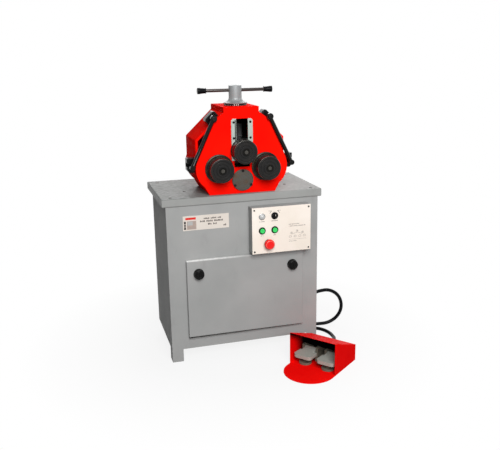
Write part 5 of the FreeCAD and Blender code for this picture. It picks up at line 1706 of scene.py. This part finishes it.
@dataclass
class ScrewFeed(SubAssembly):
    """Hub, graduated ring, turning bar and grips."""

    marks: int = 36

    def build(self) -> None:
        """Dress the feed from the ring up."""
        self.ring()
        self.hub()
        self.bar()
        for side, sign in SIDES.items():
            self.grip(side, sign)
        dress_node("adjusting_screw", self.paints.dark_screw)

    def ring(self) -> None:
        """Black graduated ring with white marks on its rim."""
        low, high = span("scale_ring")
        tall = high[2] - low[2]
        centre = np.array([0.0, AT.screw_axis, low[2]])
        profile = [
            (12.1, 0, 0), (43.4, 0, 0.5), (44, 1.0, 0.5), (44, tall - 1.4, 0.6), (42.6, tall, 0.5),
            (12.1, tall, 0), (12.1, 0, 0),
        ]
        body = lathe(rounded_profile(profile), drawn(*centre), Axis.UP.way, 120)
        turn_node("scale_ring", [body], self.paints.plastic)
        parts = []
        for mark in range(self.marks):
            angle = 2 * np.pi * mark / self.marks
            front = abs(mark - 3 * self.marks / 4 + 1) < 1.5
            long, half = (5.4, 1.2) if front else (2.6, 0.3)
            out = np.array([np.cos(angle), np.sin(angle), 0])
            side = np.array([-np.sin(angle), np.cos(angle), 0])
            corners = [(-half, 0.9), (half, 0.9), (half, 0.9 + long), (-half, 0.9 + long)]
            inner = [centre + out * 43.9 + side * a + Axis.UP.way * b for a, b in corners]
            parts.append(capped([np.array(inner), inner + out * 0.22]))
        white = Grained("scale_marks", linear(226, 224, 216), linear(180, 176, 166), 0.5).make()
        settle("scale_ring_marks", parts, white)

    def hub(self) -> None:
        """Satin hub that flares down to the ring: radius 25 + 21 (1 - s) to the power 3.2."""
        foot = [
            (0, 39.05, 0), (12.05, 39.05, 0), (12.05, 0, 0), (45.4, 0, 0.4), (46, 0.8, 0.4),
            (46, 3.0, 0),
        ]
        share = np.linspace(0, 1, 18)
        flare = np.stack([25.0 + 21.0 * (1 - share) ** 3.2, 3.0 + 21.0 * share], axis=1)
        top = [(25, 24, 0), (25, 67.5, 2.0), (8.0, 67.5, 0.6), (7.0, 66.2, 0.2), (0, 66.2, 0)]
        profile = np.concatenate([rounded_profile(foot, 3), flare, rounded_profile(top, 5)])
        centre = drawn(0, AT.screw_axis, AT.hub_low)
        finish = Turned(
            "hub_finish", linear(142, 146, 147), linear(128, 127, 124), 0.46, 0.35, shine=0.3,
            centre=centre, axis=Axis.UP, pitch=2.4, depth=0.01, share=0.25,
        ).make()
        body = lathe(profile, centre, Axis.UP.way, 120)
        turn_node("screw_hub", [body], finish, "screw")

    def bar(self) -> None:
        """Turning bar through the hub."""
        low, high = span("tommy_bar")
        half = (high[0] - low[0]) / 2
        profile = [(0, -half, 0), (6.5, -half, 0.8), (6.5, half, 0.8), (0, half, 0)]
        finish = Grained(
            "bar_finish", linear(58, 52, 50), linear(40, 34, 30), 0.24, 0.5, shine=0.5,
            kind=Kind.MACHINED, grain=400, depth=0.003, share=0.4, stretch=(0.02, 1, 1),
        ).make()
        centre = drawn(0, AT.screw_axis, AT.bar_up)
        body = lathe(rounded_profile(profile), centre, Axis.TO_RIGHT.way, 48)
        turn_node("tommy_bar", [body], finish, "bar")

    def grip(self, side: str, sign: int) -> None:
        """A flared grip: radius 9.6 + 2.2 (1.25 s) to the power 1.6, held at its widest.

        Args:
            side: left or right.
            sign: side as a number.
        """
        low, high = span(f"bar_grip_{side}")
        long = high[0] - low[0]
        start = drawn(high[0] if sign < 0 else low[0], AT.screw_axis, AT.bar_up)
        mouth = np.array([(0, 0.0), (9.6, 0.0), (11.2, 0.25)])
        share = np.linspace(0, 1, 26)
        waist = 9.6 + 2.2 * np.clip(share * 1.25, 0, 1) ** 1.6
        sleeve = np.stack([waist, 1.0 + share * (long - 3.0)], axis=1)
        tail = [(11.8, long - 2.0, 0), (11.9, long - 0.7, 0.6), (10.0, long, 0.5), (0, long, 0)]
        profile = np.concatenate([mouth, sleeve, rounded_profile(tail, 3)])
        body = lathe(profile, start, Axis.TO_RIGHT.way * sign, 64)
        turn_node(f"bar_grip_{side}", [body], self.paints.rubber, "bar")


@dataclass
class SideArms(SubAssembly):
    """Two swinging arms with their blocks and screws."""

    def build(self) -> None:
        """Round the blocks and arms and set the screws."""
        for side in SIDES:
            for block in ("upper", "lower"):
                soften(f"{side}_{block}_block", 1.6, self.paints.black, segments=3)
            soften(f"{side}_arm", 0.4, self.paints.arm, f"{side}_swing")
        screw = (Axis.TO_FRONT, 5.0, 0.5, 0.6125, 0.5, 32)
        turn_screws("arm_screws", self.paints.dark_screw, "zinc_steel", *screw)


@dataclass
class FootSwitch(SubAssembly):
    """Red guard over two pedals."""

    def build(self) -> None:
        """Round the sheets, the casting and the treads."""
        soften("pedal_guard", 1.6, self.paints.guard, segments=3, inner=0.5)
        casting = Grained(
            "pedal_casting_finish", linear(108, 104, 92), linear(168, 165, 150), 0.5, shine=0.1,
            kind=Kind.CAST, grain=300, depth=0.14, share=0.35,
        ).make()
        soften("pedal_body", 1.0, casting)
        for side in SIDES:
            soften(f"{side}_pedal", 2.4, self.paints.alloy, f"{side}_tread", 3)
        dress_node("pedal_pins", self.paints.steel)


@dataclass
class InnerDrive(SubAssembly):
    """What the cabinet and the head hold: motor, chain, gears."""

    def build(self) -> None:
        """Give each inner node its finish."""
        grease = Grained(
            "gear_finish", linear(120, 112, 100), linear(70, 56, 40), 0.3, 0.9, shine=0.5,
            kind=Kind.MACHINED, grain=900, share=0.6, stretch=(1, 0.08, 1),
        ).make()
        motor = Enamel(
            "motor_enamel", linear(86, 98, 104), linear(74, 84, 92), 0.4, coat=0.2, shine=0.4
        ).make()
        for node in (
            "motor_sprocket", "shaft_sprocket", "drive_shaft", "left_gear", "right_gear",
            "drive_chain",
        ):
            dress_node(node, grease)
        dress_node("gearmotor", motor)
        dress_node("door_hinge_rod", self.paints.steel)


# ---------------------------------------------------------------- studio


@dataclass
class Studio:
    """Camera, pale floor, plain background and soft lamps, in millimetres of the drawing."""

    eye: Point = (-665.68, -2600.0, 1187.8)
    yaw: float = 15.95
    pitch: float = 14.56
    roll: float = -0.93
    lens: float = 47.715
    reach: float = 9.0
    even_light: float = 0.05

    def build(self) -> None:
        """Set up everything but the camera."""
        self.floor()
        self.background()
        self.lamp("key_lamp", (-300, -3200, 2300), (0, -100, 600), 1.9, 137.0)
        self.lamp("side_lamp", (2600, 600, 1800), (0, -100, 600), 2.4, 24.0)
        self.lamp("back_lamp", (900, 3000, 2600), (0, 0, 600), 2.4, 52.0)
        self.lamp("top_lamp", (0, -300, 3300), (0, 0, 700), 2.6, 12.5)
        scene = bpy.context.scene
        scene.view_settings.view_transform = "Standard"
        scene.view_settings.look = "None"

    def camera(self) -> None:
        """Place the camera by its eye, yaw, pitch and roll."""
        yaw, pitch, roll = (math.radians(angle) for angle in (self.yaw, self.pitch, self.roll))
        level = math.cos(pitch)
        ahead = Vector((math.sin(yaw) * level, math.cos(yaw) * level, -math.sin(pitch)))
        right = Vector((math.cos(yaw), -math.sin(yaw), 0.0))
        above = right.cross(ahead)
        side = math.cos(roll) * right + math.sin(roll) * above
        upward = -math.sin(roll) * right + math.cos(roll) * above
        data = bpy.data.cameras.new("camera")
        data.lens = self.lens
        data.sensor_width = 36.0
        data.clip_end = 30.0
        camera = link("camera", data)
        turn = Matrix((side, upward, -ahead)).transposed().to_4x4()
        camera.matrix_world = Matrix.Translation(drawn(*self.eye)) @ turn
        bpy.context.scene.camera = camera

    def floor(self) -> None:
        """A wide pale floor that keeps the machine's shadow and fades to white away from it."""
        corners = [(-1, -1, 0), (1, -1, 0), (1, 1, 0), (-1, 1, 0)]
        mesh = bpy.data.meshes.new("floor")
        mesh.from_pydata(np.array(corners) * self.reach, [], [(0, 1, 2, 3)])
        floor = link("floor", mesh)
        shader = Shader("floor_finish")
        seen = shader.seen()
        tone = shader.over(shader.noise(0.8, 3), linear(140, 140, 140), linear(146, 146, 146))
        tone = shader.over(seen, tone, linear(214, 214, 214))
        shader.feed({"Base Color": tone, "Roughness": 0.9, "Specular IOR Level": 0.1})
        away = shader.spread(shader.radius(TABLE, Axis.UP), 0.4, 0.9, 0.86, 1.0)
        white = shader.add("Emission", {})
        given = {0: shader.product(seen, away), 1: shader.surface.outputs[0], 2: white}
        mixed = shader.add("MixShader", given)
        shader.fill(shader.tree.nodes["Material Output"], {"Surface": mixed})
        dress(floor, shader.material)
        floor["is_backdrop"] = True

    def background(self) -> None:
        """White for the camera and for mirrors, a plain even light for everything else."""
        world = bpy.data.worlds.new("background")
        bpy.context.scene.world = world
        world.use_nodes = True
        nodes = Nodes(world.node_tree)
        white, even = (
            nodes.add("Background", {"Color": (1.0, 1.0, 1.0, 1.0), "Strength": strength})
            for strength in (1.0, self.even_light)
        )
        mixed = nodes.add("MixShader", {0: nodes.seen(), 1: even, 2: white})
        nodes.fill(nodes.tree.nodes["World Output"], {"Surface": mixed})

    def lamp(self, name: str, place: Point, target: Point, size: float, power: float) -> None:
        """A square soft lamp.

        Args:
            name: name of the lamp.
            place: where it hangs.
            target: the point that it faces.
            size: side in metres.
            power: watts.
        """
        data = bpy.data.lights.new(name, "AREA")
        data.shape = "SQUARE"
        data.size = size
        data.energy = power
        here, there = Vector(drawn(*place)), Vector(drawn(*target))
        turn = (there - here).to_track_quat("-Z", "Y").to_matrix().to_4x4()
        link(name, data).matrix_world = Matrix.Translation(here) @ turn


def main() -> None:
    """Build everything in order and report each piece."""
    logging.basicConfig(level=logging.INFO, format="%(name)s: %(message)s")
    studio = Studio()
    studio.camera()
    paints = Paints()
    for part in (
        FootCable(paints), Table(paints), Cabinet(paints), Nameplate(paints), ControlPanel(paints),
        Head(paints), Rolls(paints), ScrewFeed(paints), SideArms(paints), FootSwitch(paints),
        InnerDrive(paints), studio,
    ):
        known = set(bpy.data.objects.keys())
        part.build()
        for name in sorted(set(bpy.data.objects.keys()) - known):
            LOG.info("%s: %s", type(part).__name__, name)
    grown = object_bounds()
    for name, box in (("frame", CAD_BOX), ("dressed", grown)):
        LOG.info("%s %s", name, [tuple(corner) for corner in box])


if __name__ == "__main__":
    main()
